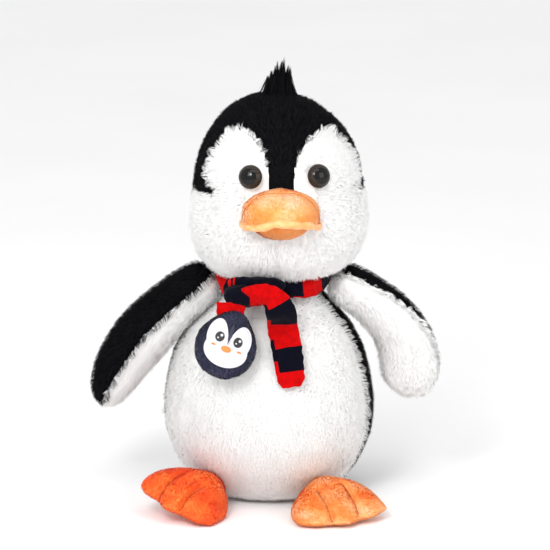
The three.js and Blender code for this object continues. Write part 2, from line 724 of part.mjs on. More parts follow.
const headColours = { crown_panel: BLACK_PLUSH, head_back_panel: BLACK_PLUSH, head_stuffing: STUFFING };
for (const [name, shape] of Object.entries(headPanels())) {
  place(name, shape, headColours[name] ?? WHITE_PLUSH);
}
place('tuft', tuft(), BLACK_PLUSH);

for (const [name, shape] of Object.entries(beakPieces())) {
  place(name, shape, name.endsWith('stuffing') ? STUFFING : BEAK_VELBOA);
}

for (const side of ['left', 'right']) {
  place(`eye_${side}`, eyeSolid(side), EYE_PLASTIC);
  place(`eye_washer_${side}`, eyeWasher(side), WASHER_PLASTIC);
}

for (const [side, wing, sign] of [['left', LEFT_WING, 1], ['right', RIGHT_WING, -1]]) {
  const pieces = wingPieces(wing, sign);
  place(`wing_outer_${side}`, pieces.outer, BLACK_PLUSH);
  place(`wing_inner_${side}`, pieces.inner, WHITE_PLUSH);
  place(`wing_stuffing_${side}`, pieces.stuffing, STUFFING);
}

for (const [side, foot] of [['left', LEFT_FOOT], ['right', RIGHT_FOOT]]) {
  const pieces = footPieces(foot);
  place(`foot_upper_${side}`, pieces.upper, ORANGE_VELBOA);
  place(`foot_sole_${side}`, pieces.sole, ORANGE_VELBOA);
  place(`foot_stuffing_${side}`, pieces.stuffing, STUFFING);
}

place('scarf_loop', scarfLoop(), SCARF_RED);
place('scarf_knot', scarfKnot(), SCARF_RED);
place('scarf_tail', scarfTail(), SCARF_RED);

const charmColours = { charm_face_patch: WHITE_PLUSH, charm_stuffing: STUFFING };
for (const [name, shape] of Object.entries(charmPieces())) {
  place(name, shape, charmColours[name] ?? NAVY_VELBOA);
}
place('charm_tab', charmTab(), SCARF_RED);

// The origin is on the floor under the middle of the whole toy.
const bounds = new THREE.Box3().setFromObject(penguin);
const middle = bounds.getCenter(new THREE.Vector3());
penguin.position.set(-middle.x, -middle.y, -bounds.min.z);

export default penguin;
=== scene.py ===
"""The looks of a plush penguin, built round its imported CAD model.

Metres, +Z up, the penguin faces -Y. Left and right are the penguin's own: its left is +X.
Stuffed parts are skins made from the CAD solids, puffed up and covered with real pile.
"""

import json
import math

import bmesh
import bpy
import numpy as np
from mathutils import Matrix, Vector
from mathutils.bvhtree import BVHTree
from mathutils.kdtree import KDTree


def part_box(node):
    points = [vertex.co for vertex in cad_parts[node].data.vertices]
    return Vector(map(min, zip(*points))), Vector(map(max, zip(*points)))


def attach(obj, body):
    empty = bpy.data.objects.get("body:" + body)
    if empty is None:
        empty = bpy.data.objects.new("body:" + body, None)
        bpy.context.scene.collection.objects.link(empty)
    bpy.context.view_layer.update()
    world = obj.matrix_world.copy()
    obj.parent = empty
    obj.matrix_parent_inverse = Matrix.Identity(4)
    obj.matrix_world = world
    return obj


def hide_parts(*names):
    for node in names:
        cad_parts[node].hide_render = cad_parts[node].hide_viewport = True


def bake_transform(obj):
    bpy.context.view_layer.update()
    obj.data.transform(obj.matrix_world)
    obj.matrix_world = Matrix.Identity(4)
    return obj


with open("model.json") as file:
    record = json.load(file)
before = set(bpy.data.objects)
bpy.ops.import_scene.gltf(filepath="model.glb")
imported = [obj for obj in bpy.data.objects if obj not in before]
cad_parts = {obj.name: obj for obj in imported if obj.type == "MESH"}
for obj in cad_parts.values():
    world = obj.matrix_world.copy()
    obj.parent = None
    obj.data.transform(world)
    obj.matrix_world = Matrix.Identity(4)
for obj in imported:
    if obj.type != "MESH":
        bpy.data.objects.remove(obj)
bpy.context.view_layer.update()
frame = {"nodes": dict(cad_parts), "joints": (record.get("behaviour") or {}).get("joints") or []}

MM = 0.001
UP = np.array([0.0, 0.0, 1.0])
FLOOR_CLEARANCE = 0.4 * MM


# ---- small helpers


def middle(node):
    low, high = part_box(node)
    return (low + high) / 2


def unit(vectors):
    vectors = np.asarray(vectors, float)
    size = np.linalg.norm(vectors, axis=-1, keepdims=True)
    return vectors / np.maximum(size, 1e-12)


def smoothstep(low, high, x):
    t = np.clip((np.asarray(x, float) - low) / (high - low), 0, 1)
    return t * t * (3 - 2 * t)


def vectors_of(items, field):
    flat = np.empty(len(items) * 3, np.float32)
    items.foreach_get(field, flat)
    return flat.reshape(-1, 3).astype(float)


def points_of(obj):
    return vectors_of(obj.data.vertices, "co")


def normals_of(obj):
    return vectors_of(obj.data.vertex_normals, "vector")


def polygon_centres(obj):
    return vectors_of(obj.data.polygons, "center")


def set_points(obj, points):
    obj.data.vertices.foreach_set("co", np.asarray(points, np.float32).ravel())
    obj.data.update()


def new_object(name, mesh):
    obj = bpy.data.objects.new(name, mesh)
    bpy.context.scene.collection.objects.link(obj)
    return obj


def apply_modifiers(obj):
    graph = bpy.context.evaluated_depsgraph_get()
    mesh = bpy.data.meshes.new_from_object(obj.evaluated_get(graph))
    obj.modifiers.clear()
    old, obj.data = obj.data, mesh
    bpy.data.meshes.remove(old)
    return obj


def modified(obj, kind, **settings):
    modifier = obj.modifiers.new(kind, kind)
    for key, value in settings.items():
        setattr(modifier, key, value)
    return apply_modifiers(obj)


def shade_smooth(obj):
    obj.data.polygons.foreach_set("use_smooth", [True] * len(obj.data.polygons))
    obj.data.update()


def tree_of(obj):
    mesh = obj.data
    return BVHTree.FromPolygons([v.co for v in mesh.vertices], [p.vertices for p in mesh.polygons])


def mesh_from(name, points, polygons):
    mesh = bpy.data.meshes.new(name)
    mesh.from_pydata([tuple(p) for p in points], [], polygons)
    mesh.update()
    obj = new_object(name, mesh)
    shade_smooth(obj)
    return obj


def grid_mesh(name, surface, columns, rows, closed=False):
    """A mesh over surface(u, v), u and v from 0 to 1, joined round u when closed."""
    across = columns if closed else columns + 1
    points = [surface(i / columns, j / rows) for j in range(rows + 1) for i in range(across)]
    polygons = []
    for j in range(rows):
        for i in range(columns):
            here, right = j * across + i, j * across + (i + 1) % across
            polygons.append((here, right, right + across, here + across))
    return mesh_from(name, points, polygons)


def waves(points, size, seed, count=7):
    """Smooth noise of about -1 to 1: sine waves of about one size in random directions."""
    rng = np.random.default_rng(seed)
    directions = unit(rng.normal(size=(count, 3)))
    steps = (2 * math.pi / size) * rng.uniform(0.7, 1.4, count)
    phases = rng.uniform(0, 2 * math.pi, count)
    return np.sin((points @ directions.T) * steps + phases).sum(1) / math.sqrt(count / 2) / 1.6


# ---- materials


def principled(name, colour, roughness, **sockets):
    material = bpy.data.materials.new(name)
    material.use_nodes = True
    shader = material.node_tree.nodes["Principled BSDF"]
    shader.inputs["Base Color"].default_value = (*colour, 1)
    shader.inputs["Roughness"].default_value = roughness
    for socket, value in sockets.items():
        shader.inputs[socket.replace("_", " ")].default_value = value
    return material


def noise_node(material, scale, detail=3.0, stretch=(1, 1, 1)):
    tree = material.node_tree
    place = tree.nodes.new("ShaderNodeTexCoord")
    turn = tree.nodes.new("ShaderNodeMapping")
    turn.inputs["Scale"].default_value = stretch
    noise = tree.nodes.new("ShaderNodeTexNoise")
    noise.inputs["Scale"].default_value = scale
    noise.inputs["Detail"].default_value = detail
    tree.links.new(place.outputs["Object"], turn.inputs["Vector"])
    tree.links.new(turn.outputs["Vector"], noise.inputs["Vector"])
    return noise


def add_bump(material, height, depth, strength=0.6):
    tree = material.node_tree
    bump = tree.nodes.new("ShaderNodeBump")
    bump.inputs["Strength"].default_value = strength
    bump.inputs["Distance"].default_value = depth
    tree.links.new(height, bump.inputs["Height"])
    tree.links.new(bump.outputs["Normal"], tree.nodes["Principled BSDF"].inputs["Normal"])


def mottle(material, colours, scale, spread=(0.35, 0.65), detail=4.0, stretch=(1, 1, 1)):
    """Colours the surface from a ramp over soft noise."""
    tree = material.node_tree
    noise = noise_node(material, scale, detail, stretch)
    ramp = tree.nodes.new("ShaderNodeValToRGB")
    stops = ramp.color_ramp.elements
    while len(stops) < len(colours):
        stops.new(0.5)
    for i, colour in enumerate(colours):
        stops[i].position = spread[0] + (spread[1] - spread[0]) * i / (len(colours) - 1)
        stops[i].color = (*colour, 1)
    tree.links.new(noise.outputs["Fac"], ramp.inputs["Fac"])
    tree.links.new(ramp.outputs["Color"], tree.nodes["Principled BSDF"].inputs["Base Color"])


def backing(name, dark, light):
    """Knitted backing between the roots of the pile."""
    material = principled(name, light, 1.0, Specular_IOR_Level=0.05)
    mottle(material, [dark, light], 900)
    add_bump(material, noise_node(material, 1400).outputs["Fac"], 0.4 * MM)
    return material


def pile_tones(name, tones, roughness=0.85, sheen=0.25):
    """One material a tone: single fibres differ, and each fibre is one colour."""
    made = []
    for i, tone in enumerate(tones):
        made.append(principled(f"{name}_{i}", tone, roughness, Sheen_Weight=sheen, Sheen_Roughness=0.5,
                               Specular_IOR_Level=0.05))
    return made


def velboa(name, colours, scale=45, spread=(0.35, 0.65)):
    """Very short pile: satin patches where it is brushed one way or the other, and a fine nap."""
    material = principled(name, colours[0], 0.62, Sheen_Weight=0.35, Sheen_Roughness=0.4)
    mottle(material, colours, scale, spread, stretch=(1, 1, 1.6))
    add_bump(material, noise_node(material, 1100, 2.0).outputs["Fac"], 0.5 * MM, 0.5)
    return material


WHITE_BACKING = backing("white_backing", (0.95, 0.947, 0.94), (0.985, 0.982, 0.975))
BLACK_BACKING = backing("black_backing", (0.002, 0.002, 0.0025), (0.006, 0.006, 0.007))
WHITE_PILE = pile_tones("white_pile", [(0.98, 0.977, 0.972), (0.94, 0.937, 0.93), (0.99, 0.99, 0.986)])
BLACK_PILE = pile_tones(
    "black_pile", [(0.0022, 0.0022, 0.0027), (0.005, 0.005, 0.006), (0.009, 0.009, 0.011)], 0.8, 0.0)


# ---- stuffed forms


def joined_copy(name, nodes):
    form = bmesh.new()
    for node in nodes:
        form.from_mesh(frame["nodes"][node].data)
    mesh = bpy.data.meshes.new(name)
    form.to_mesh(mesh)
    form.free()
    return new_object(name, mesh)


def keep_largest_shell(obj):
    """Drops the closed pockets that were left inside."""
    form = bmesh.new()
    form.from_mesh(obj.data)
    unseen, shells = set(form.verts), []
    while unseen:
        shell, todo = set(), [unseen.pop()]
        while todo:
            vert = todo.pop()
            shell.add(vert)
            for edge in vert.link_edges:
                other = edge.other_vert(vert)
                if other in unseen:
                    unseen.remove(other)
                    todo.append(other)
        shells.append(shell)
    largest = max(shells, key=len)
    bmesh.ops.delete(form, geom=[v for v in form.verts if v not in largest])
    form.to_mesh(obj.data)
    form.free()


PUFF_FRAMES = 20


def puff(obj, pinned, pressure, cap):
    """Blows the form up from inside, with the pinned points held, and lets no point move past cap."""
    rest = points_of(obj)
    held = obj.vertex_groups.new(name="held")
    held.add([int(i) for i in np.flatnonzero(pinned)], 1.0, "REPLACE")
    cloth = obj.modifiers.new("Cloth", "CLOTH")
    cloth.settings.use_pressure = True
    cloth.settings.uniform_pressure_force = pressure
    cloth.settings.effector_weights.gravity = 0
    cloth.settings.vertex_group_mass = "held"
    cloth.settings.quality = 5
    cloth.point_cache.frame_start, cloth.point_cache.frame_end = 1, PUFF_FRAMES
    for step in range(1, PUFF_FRAMES + 1):
        bpy.context.scene.frame_set(step)
    apply_modifiers(obj)
    bpy.context.scene.frame_set(1)
    moved = points_of(obj) - rest
    size = np.linalg.norm(moved, axis=1, keepdims=True)
    set_points(obj, rest + moved * np.minimum(1, cap / np.maximum(size, 1e-9)))


def stuffed(name, nodes, voxel, inset, smooth=12, pressure=3.0, cap=3 * MM, seam=None):
    """A filled skin round CAD nodes, drawn in by inset. seam(points) is 1 on a seam and 0 far from it."""
    obj = joined_copy(name, nodes)
    modified(obj, "REMESH", mode="VOXEL", voxel_size=voxel)
    keep_largest_shell(obj)
    modified(obj, "SMOOTH", factor=0.5, iterations=smooth)
    set_points(obj, points_of(obj) - normals_of(obj) * inset)
    points = points_of(obj)
    near = np.zeros(len(points)) if seam is None else seam(points)
    lowest = points[:, 2] < points[:, 2].min() + 1.5 * MM
    puff(obj, (near > 0.5) | lowest, pressure, cap)
    modified(obj, "SUBSURF", levels=1)
    shade_smooth(obj)
    return obj


# ---- pile


class Panels:
    """Tells which CAD panel each point of a skin belongs to, and how far the next panel is."""

    def __init__(self, names):
        self.names = list(names)
        self.trees = [tree_of(frame["nodes"][name]) for name in self.names]

    def distances(self, points):
        return np.array([[tree.find_nearest(p)[3] for tree in self.trees] for p in points])

    def seam(self, width):
        def near(points):
            two = np.sort(self.distances(points), axis=1)[:, :2]
            return np.exp(-(((two[:, 1] - two[:, 0]) / width) ** 2))

        return near


def scatter(obj, per_mm2, seed):
    """Random points spread evenly over a skin, with the skin's normal at each."""
    rng = np.random.default_rng(seed)
    mesh = obj.data
    mesh.calc_loop_triangles()
    triangles = np.empty(len(mesh.loop_triangles) * 3, np.int32)
    mesh.loop_triangles.foreach_get("vertices", triangles)
    triangles = triangles.reshape(-1, 3)
    points, normals = points_of(obj), normals_of(obj)
    a, b, c = (points[triangles[:, k]] for k in range(3))
    area = np.linalg.norm(np.cross(b - a, c - a), axis=1) / 2
    count = int(area.sum() * per_mm2 * 1e6)
    chosen = rng.choice(len(area), count, p=area / area.sum())
    u, v = rng.random((2, count, 1))
    over = u + v > 1
    u, v = np.where(over, 1 - u, u), np.where(over, 1 - v, v)
    weights = (1 - u - v, u, v)
    place = sum(w * points[triangles[chosen, k]] for k, w in enumerate(weights))
    facing = sum(w * normals[triangles[chosen, k]] for k, w in enumerate(weights))
    return place, unit(facing)


def along_skin(vectors, normals):
    return unit(vectors - (vectors * normals).sum(1, keepdims=True) * normals)


def gathered(roots, tips, spacing, strength, seed):
    """Draws the tips of neighbouring fibres together into small tufts."""
    rng = np.random.default_rng(seed)
    count = max(2, int(len(roots) * min(1.0, spacing)))
    heads = rng.choice(len(roots), count, replace=False)
    tree = KDTree(count)
    for i, head in enumerate(heads):
        tree.insert(roots[head], i)
    tree.balance()
    home = heads[[tree.find(p)[1] for p in roots]]
    return tips + (tips[home] - tips) * strength


def blades(name, roots, middles, tips, normals, width, tones, seed):
    """Thin tapered fibres. Their shading follows the skin's normal, as deep pile looks."""
    rng = np.random.default_rng(seed)
    count = len(roots)
    along = unit(tips - roots)
    side = unit(np.cross(along, normals) + rng.normal(scale=0.12, size=(count, 3)))
    side = along_skin(side, along)
    flip = (np.cross(side, along) * normals).sum(1) < 0
    side[flip] *= -1
    half = side * (width * rng.uniform(0.7, 1.2, (count, 1)) / 2)
    waist = half * 0.8
    corners = np.stack([roots - half, roots + half, middles + waist, middles - waist, tips], axis=1)
    corners[:, :, 2] = np.maximum(corners[:, :, 2], FLOOR_CLEARANCE)
    first = np.arange(count)[:, None] * 5
    loops = (first + np.array([0, 1, 2, 3, 3, 2, 4])).ravel()
    starts = (np.arange(count)[:, None] * 7 + np.array([0, 4])).ravel()
    mesh = bpy.data.meshes.new(name)
    mesh.vertices.add(count * 5)
    mesh.vertices.foreach_set("co", corners.astype(np.float32).ravel())
    mesh.loops.add(len(loops))
    mesh.polygons.add(len(starts))
    mesh.polygons.foreach_set("loop_start", starts.astype(np.int32))
    mesh.polygons.foreach_set("vertices", loops.astype(np.int32))
    tone_of = np.repeat(rng.integers(0, len(tones), count), 2)
    mesh.polygons.foreach_set("material_index", tone_of.astype(np.int32))
    mesh.polygons.foreach_set("use_smooth", [True] * len(starts))
    mesh.update(calc_edges=True)
    shade = unit(normals[:, None, :] + along[:, None, :] * np.array([0.0, 0.0, 0.15, 0.15, 0.4])[:, None])
    mesh.normals_split_custom_set_from_vertices(shade.reshape(-1, 3).astype(np.float32))
    for tone in tones:
        mesh.materials.append(tone)
    return new_object(name, mesh)


MOST_FIBRES = 60000  # a piece


def plush(name, body, slot, roots, normals, lean, length, tones, seed, width=0.45 * MM, stand=0.62,
          tuft=0.2):
    """Pile over part of a skin, leaning along the skin, in pieces of at most MOST_FIBRES. stand is how
    upright the fibres are, and tuft how far their tips are drawn together, each from 0 to 1."""
    if not len(roots):
        return
    rng = np.random.default_rng(seed)
    lean = along_skin(lean + 0.25 * waves(roots, 30 * MM, seed)[:, None] * np.cross(normals, lean), normals)
    length = length * (1 + 0.07 * waves(roots, 9 * MM, seed + 1)) * rng.uniform(0.8, 1.1, len(roots))
    jitter = rng.normal(scale=0.17, size=(len(roots), 3))
    rise = unit(normals * stand + lean * (1 - stand) + jitter)
    fall = unit(normals * (stand * 0.45) + lean * (1.25 - stand) + jitter)
    middles = roots + rise * (length * 0.5)[:, None]
    tips = middles + fall * (length * 0.55)[:, None]
    tips = gathered(roots, tips, 0.07, tuft, seed + 2)
    for part, start in enumerate(range(0, len(roots), MOST_FIBRES)):
        chosen = slice(start, start + MOST_FIBRES)
        piece = blades(f"{name}_{part}", roots[chosen], middles[chosen], tips[chosen], normals[chosen],
                       width, tones, seed + 3 + part)
        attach(piece, body)


def paint_regions(obj, white):
    """White and black backing, by a true or false for each polygon."""
    obj.data.materials.clear()
    obj.data.materials.append(WHITE_BACKING)
    obj.data.materials.append(BLACK_BACKING)
    obj.data.polygons.foreach_set("material_index", np.where(white, 0, 1).astype(np.int32))


FRINGE_WIDTH = 3 * MM
FRINGE_LENGTH = 7.2 * MM


def furred(name, body, nodes, panels, white_names, lean_of, seed, voxel=4 * MM, inset=3.6 * MM, density=1.4,
           white_length=5.8 * MM, black_length=4.4 * MM, groove=1.2 * MM, inside=(), bare=(), overlap=0.0,
           black_rise=0.0, shaped=None, fringe=True, tuft=0.3):
    """A stuffed skin with its panels' colours, sunk along its seams and covered with pile. Black pile
    reaches over the white by overlap, a length or a function of the points, and the black panels stand
    out by black_rise. Along the seams the white pile hangs over the black when fringe is true, and the
    black pile over the white when it is false. bare is a list of balls that stay clear of pile."""
    find = Panels(panels)
    is_white = np.array([panel in white_names for panel in find.names])
    seam = find.seam(1.6 * MM)

    def whiteness(points):
        apart = find.distances(points)
        reach = overlap(points) if callable(overlap) else overlap
        return apart[:, ~is_white].min(1) - apart[:, is_white].min(1) - reach

    skin = stuffed(f"{name}_skin", nodes, voxel, inset, seam=seam)
    places = points_of(skin)
    lift = black_rise * (1 - smoothstep(-4 * MM, 1 * MM, whiteness(places)))
    set_points(skin, places + normals_of(skin) * (lift - groove * seam(places))[:, None])
    paint_regions(skin, whiteness(polygon_centres(skin)) > 0)
    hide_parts(*nodes, *inside)
    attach(skin, body)
    roots, normals = scatter(skin, density, seed)
    for centre, radius in bare:
        clear = np.linalg.norm(roots - np.array(centre), axis=1) > radius
        roots, normals = roots[clear], normals[clear]
    deep = whiteness(roots)
    white = deep > 0
    lean = lean_of(roots, normals)
    edge = white & (deep < FRINGE_WIDTH) if fringe else ~white & (deep > -FRINGE_WIDTH)
    others = [tree for tree, pale in zip(find.trees, is_white) if pale != fringe]
    for i in np.flatnonzero(edge):
        near = min((tree.find_nearest(roots[i]) for tree in others), key=lambda hit: hit[3])
        lean[i] = unit(lean[i] + 1.6 * unit(np.array(near[0]) - roots[i]))
    if shaped is not None:
        set_points(skin, shaped(points_of(skin)))
        roots = shaped(roots)

    def cover(part, pale, chosen, length, own_seed, **look):
        slot, tones = ("white_plush", WHITE_PILE) if pale else ("black_plush", BLACK_PILE)
        plush(f"{name}_{part}", body, slot, roots[chosen], normals[chosen], lean[chosen], length, tones,
              own_seed, **look)

    cover("white_pile", True, white & ~edge, white_length, seed + 10, tuft=tuft)
    cover("black_pile", False, ~white & ~edge, black_length, seed + 20, tuft=0.3)
    cover("fringe", fringe, edge, FRINGE_LENGTH, seed + 30, stand=0.6, tuft=0.65)


def downward(roots, normals):
    return along_skin(np.tile(-UP, (len(roots), 1)) + normals * 0.01, normals)


def away_from(point, fall):
    """Pile that is brushed away from a point, and a little downward."""

    def lean(roots, normals):
        return along_skin(unit(roots - np.array(point)) - UP * fall, normals)

    return lean


def build_body():
    furred(
        "body", "torso", ["belly_panel", "back_panel", "base_panel", "body_stuffing"],
        ["belly_panel", "back_panel", "base_panel"], {"belly_panel"}, downward, seed=100,
        inside=["neck_stuffing"], density=1.6, white_length=4.4 * MM, inset=2.6 * MM, overlap=0.5 * MM,
        tuft=0.15)


SIDES = ("left", "right")
NECK = Vector(frame["joints"][0]["pos_m"])
EYE_RADIUS = 9 * MM
EYE_DOME = 6.5 * MM


def eye_axis(side):
    """An eye's front point and the way it looks."""
    dome = points_of(frame["nodes"][f"eye_{side}"])
    washer = points_of(frame["nodes"][f"eye_washer_{side}"])
    out = unit(dome.mean(0) - washer.mean(0))
    return washer.mean(0) + out * ((dome - washer.mean(0)) @ out).max(), out


BEAK_SHARE = 0.42  # of the beak's width, for the ball behind it that has no pile
ASIDE = (28 * MM, 45 * MM)  # from the middle of the face out to the cap's wide sides
ABOVE = (-17 * MM, -9 * MM)  # these heights are from the top of the beak
TOP = (16 * MM, 34 * MM)
CORNER_BACK = (-9 * MM, 23 * MM)  # behind the neck
CORNER_UP = (-42 * MM, -14 * MM)


def build_head():
    cheeks = ["cheek_panel_right", "cheek_panel_left", "eye_patch_right", "eye_patch_left"]
    panels = [*cheeks, "crown_panel", "head_back_panel"]
    beak = middle("upper_bill")
    beak.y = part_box("upper_bill")[1].y
    low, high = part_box("upper_bill")
    under_beak = (beak, (high.x - low.x) * BEAK_SHARE)
    eyes = [(point - out * EYE_DOME, EYE_RADIUS * 0.95) for point, out in map(eye_axis, SIDES)]

    def black_reach(points):
        """The cap is wider at the sides of the head than its CAD panel, and ends where the cheeks start."""
        aside = smoothstep(*ASIDE, np.abs(points[:, 0] - beak.x))
        above = smoothstep(high.z + ABOVE[0], high.z + ABOVE[1], points[:, 2])
        top = smoothstep(high.z + TOP[0], high.z + TOP[1], points[:, 2])
        corner = smoothstep(*CORNER_BACK, points[:, 1] - NECK.y)
        corner = corner * smoothstep(*CORNER_UP, points[:, 2] - high.z)
        cap = above * (np.maximum(7 * MM * aside, 4.5 * MM * top) - 1.5 * MM)
        cheek = (1 - above) * 3.5 * MM * aside
        return cap - cheek + 18 * MM * corner * (1 - above)

    furred(
        "head", "head", [*panels, "head_stuffing"], panels, set(cheeks), away_from(beak, 0.25), seed=200,
        inside=["eye_washer_left", "eye_washer_right"], bare=[*eyes, under_beak], overlap=black_reach,
        black_rise=2.6 * MM)


WING_SEED = {"left": 300, "right": 400}
WING_GATHER = 72 * MM  # how much of the wing is drawn in with its root
ROOT_IN = 13 * MM
ROOT_UP = {"left": 2 * MM, "right": 4 * MM}
WING_WHITE = {"left": 1.5 * MM, "right": 5 * MM}  # how far the white lining reaches past its seam


def build_wing(side):
    outer, inner = f"wing_outer_{side}", f"wing_inner_{side}"
    low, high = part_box(outer)
    root_x, tip_x = (low.x, high.x) if side == "left" else (high.x, low.x)
    along = np.array([tip_x - root_x, 0, low.z - high.z])

    def lean(roots, normals):
        return along_skin(np.tile(unit(along), (len(roots), 1)) - UP * 0.4, normals)

    inward = np.array([math.copysign(1, root_x - tip_x), 0, 0])

    def sewn_on(points):
        """Draws the wing's root in against the body and up behind the jaw."""
        near = 1 - smoothstep(0, WING_GATHER, np.hypot(points[:, 0] - root_x, points[:, 2] - high.z))
        return points + near[:, None] * (inward * ROOT_IN + UP * ROOT_UP[side])

    furred(
        f"wing_{side}", f"wing_{side}", [outer, inner, f"wing_stuffing_{side}"], [outer, inner], {inner},
        lean, seed=WING_SEED[side], voxel=3.5 * MM, inset=3.2 * MM, black_rise=1.5 * MM, shaped=sewn_on,
        overlap=-WING_WHITE[side], fringe=side == "left")


# ---- tuft

TUFT_LOCKS = 8
TUFT_FIBRES = 170  # a lock
TUFT_STEPS = 6
TUFT_SPREAD = (10, 7.2, 8.5)  # half widths at the root, waist and tips, in millimetres
CROWN_RADIUS = 65 * MM


def tapered_strips(name, paths, width, tones, seed):
    """Long fibres as flat ribbons that taper to a point. paths is fibre, step, xyz."""
    rng = np.random.default_rng(seed)
    count, steps = paths.shape[:2]
    along = unit(paths[:, -1] - paths[:, 0])
    side = unit(np.cross(along, rng.normal(size=(count, 3))))
    taper = (1 - np.linspace(0, 1, steps) ** 2) * width / 2
    offset = side[:, None, :] * taper[None, :, None]
    corners = np.stack([paths - offset, paths + offset], axis=2).reshape(-1, 3)
    starts = [(fibre * steps + step) * 2 for fibre in range(count) for step in range(steps - 1)]
    polygons = [(k, k + 1, k + 3, k + 2) for k in starts]
    obj = mesh_from(name, corners, polygons)
    for tone in tones:
        obj.data.materials.append(tone)
    pick = np.repeat(rng.integers(0, len(tones), count), steps - 1)
    obj.data.polygons.foreach_set("material_index", pick.astype(np.int32))
    return obj


def build_tuft():
    """Long pile on the crown: a flared root, and pointed locks that part near their tips."""
    rng = np.random.default_rng(700)
    low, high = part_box("tuft")
    base = np.array([(low.x + high.x) / 2, (low.y + high.y) / 2, low.z - 1 * MM])
    tall = high.z - base[2]
    t = np.linspace(0, 1, TUFT_STEPS)[None, :, None]
    paths = []
    for lock in range(TUFT_LOCKS):
        s = lock / (TUFT_LOCKS - 1) * 2 - 1
        reach = tall * (1.0 - 0.4 * abs(s - 0.15) ** 1.5) * rng.uniform(0.86, 1.06)
        at_root, at_waist, at_tip = (s * spread * MM for spread in TUFT_SPREAD)
        tip = base + [at_tip + 1.0 * MM + rng.uniform(-1, 1) * MM, rng.uniform(-4, 4) * MM, reach]
        waist = base + [at_waist, rng.uniform(-2, 2) * MM, tall * 0.35]
        flare = rng.normal(size=(TUFT_FIBRES, 3)) * [1, 1, 0]
        roots = base + [at_root, 0, 0] + flare * [2.2 * MM, 4.5 * MM, 0]
        roots[:, 2] -= (roots[:, 0] - base[0]) ** 2 / (2 * CROWN_RADIUS)
        middle_points = waist + flare * [1.1 * MM, 2.2 * MM, 0]
        short = rng.uniform(0.55, 1.0, (TUFT_FIBRES, 1))
        ends = tip + rng.normal(scale=0.5 * MM, size=(TUFT_FIBRES, 3))
        tips = middle_points + (ends - middle_points) * short
        paths.append(
            roots[:, None] * (1 - t) ** 2 + middle_points[:, None] * 2 * t * (1 - t) + tips[:, None] * t**2)
    tuft = tapered_strips("tuft_locks", np.concatenate(paths), 0.45 * MM, BLACK_PILE, 701)
    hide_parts("tuft")
    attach(tuft, "head")


# ---- eyes

PUPIL_SHARE = 0.66  # of the dome's radius
EDGE_ROLL = ((0.985, -0.5), (0.9, -1.1), (0.6, -1.6))  # radius shares, and depths in millimetres


def build_eye(side):
    """A glossy domed eye: black pupil, dark brown iris ring, and a thin rim that tucks under."""
    front, out = eye_axis(side)
    profile = [(EYE_RADIUS * math.cos(a), EYE_DOME * math.sin(a)) for a in np.linspace(math.pi / 2, 0, 22)]
    profile += [(EYE_RADIUS * share, depth * MM) for share, depth in EDGE_ROLL]
    centre = front - out * EYE_DOME
    across = unit(np.cross(UP, out))
    over = np.cross(out, across)

    def surface(u, v):
        radius, rise = profile[round(v * (len(profile) - 1))]
        angle = u * 2 * math.pi
        return centre + out * rise + (across * math.cos(angle) + over * math.sin(angle)) * radius

    eye = grid_mesh(f"eye_dome_{side}", surface, 56, len(profile) - 1, closed=True)
    pupil = principled(f"pupil_{side}", (0.0015, 0.0015, 0.0015), 0.04, Specular_IOR_Level=0.3)
    iris = principled(f"iris_{side}", (0.03, 0.022, 0.018), 0.06, Specular_IOR_Level=0.2)
    mottle(iris, [(0.018, 0.013, 0.011), (0.045, 0.034, 0.028)], 600)
    mottle(pupil, [(0.001, 0.001, 0.001), (0.003, 0.0028, 0.0025)], 400)
    rim = principled(f"eye_rim_{side}", (0.01, 0.009, 0.008), 0.3)
    for material in (pupil, iris, rim):
        add_bump(material, noise_node(material, 60).outputs["Fac"], 0.05 * MM, 0.1)
        eye.data.materials.append(material)
    local = polygon_centres(eye) - centre
    radius = np.linalg.norm(local - np.outer(local @ out, out), axis=1)
    zone = np.where(radius < EYE_RADIUS * PUPIL_SHARE, 0, np.where(local @ out > 0.3 * MM, 1, 2))
    eye.data.polygons.foreach_set("material_index", zone.astype(np.int32))
    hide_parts(f"eye_{side}")
    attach(eye, "head")


# ---- beak

BEAK_LIGHT = (0.97, 0.52, 0.22)
BEAK_DARK = (0.93, 0.29, 0.04)


def nap(name, skin, body, slot, tones, density, seed, length, where=None):
    """A short fuzz that softens a velboa form's outline."""
    roots, normals = scatter(skin, density, seed)
    if where is not None:
        kept = where(roots)
        roots, normals = roots[kept], normals[kept]
    lean = along_skin(waves(roots, 30 * MM, seed)[:, None] * np.cross(normals, UP) - UP * 0.6, normals)
    plush(name, body, slot, roots, normals, lean, length, tones, seed + 1, width=0.32 * MM, stand=0.8,
          tuft=0.15)


def line_distance(points, path):
    """How far each point is from a polyline."""
    best = np.full(len(points), np.inf)
    for a, b in zip(path[:-1], path[1:]):
        along = b - a
        t = np.clip(((points - a) @ along) / max(along @ along, 1e-12), 0, 1)
        best = np.minimum(best, np.linalg.norm(points - a - t[:, None] * along, axis=1))
    return best


def pressed_line(skin, path, depth, width):
    """Sinks a stitched line into a stuffed form."""
    points = points_of(skin)
    sink = depth * np.exp(-((line_distance(points, path) / width) ** 2))
    set_points(skin, points - normals_of(skin) * sink[:, None])


BEAK_DROOP = 5.5 * MM


def drooped(points, low, high, squash):
    """Lets the beak's corners hang lower than its middle, and flattens its dome a little."""
    aside = points[:, 0] - (low.x + high.x) / 2
    from_middle = np.abs(aside) / ((high.x - low.x) / 2)
    sunk = points.copy()
    above = np.maximum(points[:, 2] - low.z, 0)
    sunk[:, 0] += aside * 0.2 * smoothstep(0.15, 0.85, above / (high.z - low.z))
    sunk[:, 2] -= BEAK_DROOP * from_middle**2 + above * (1 - squash)
    return sunk


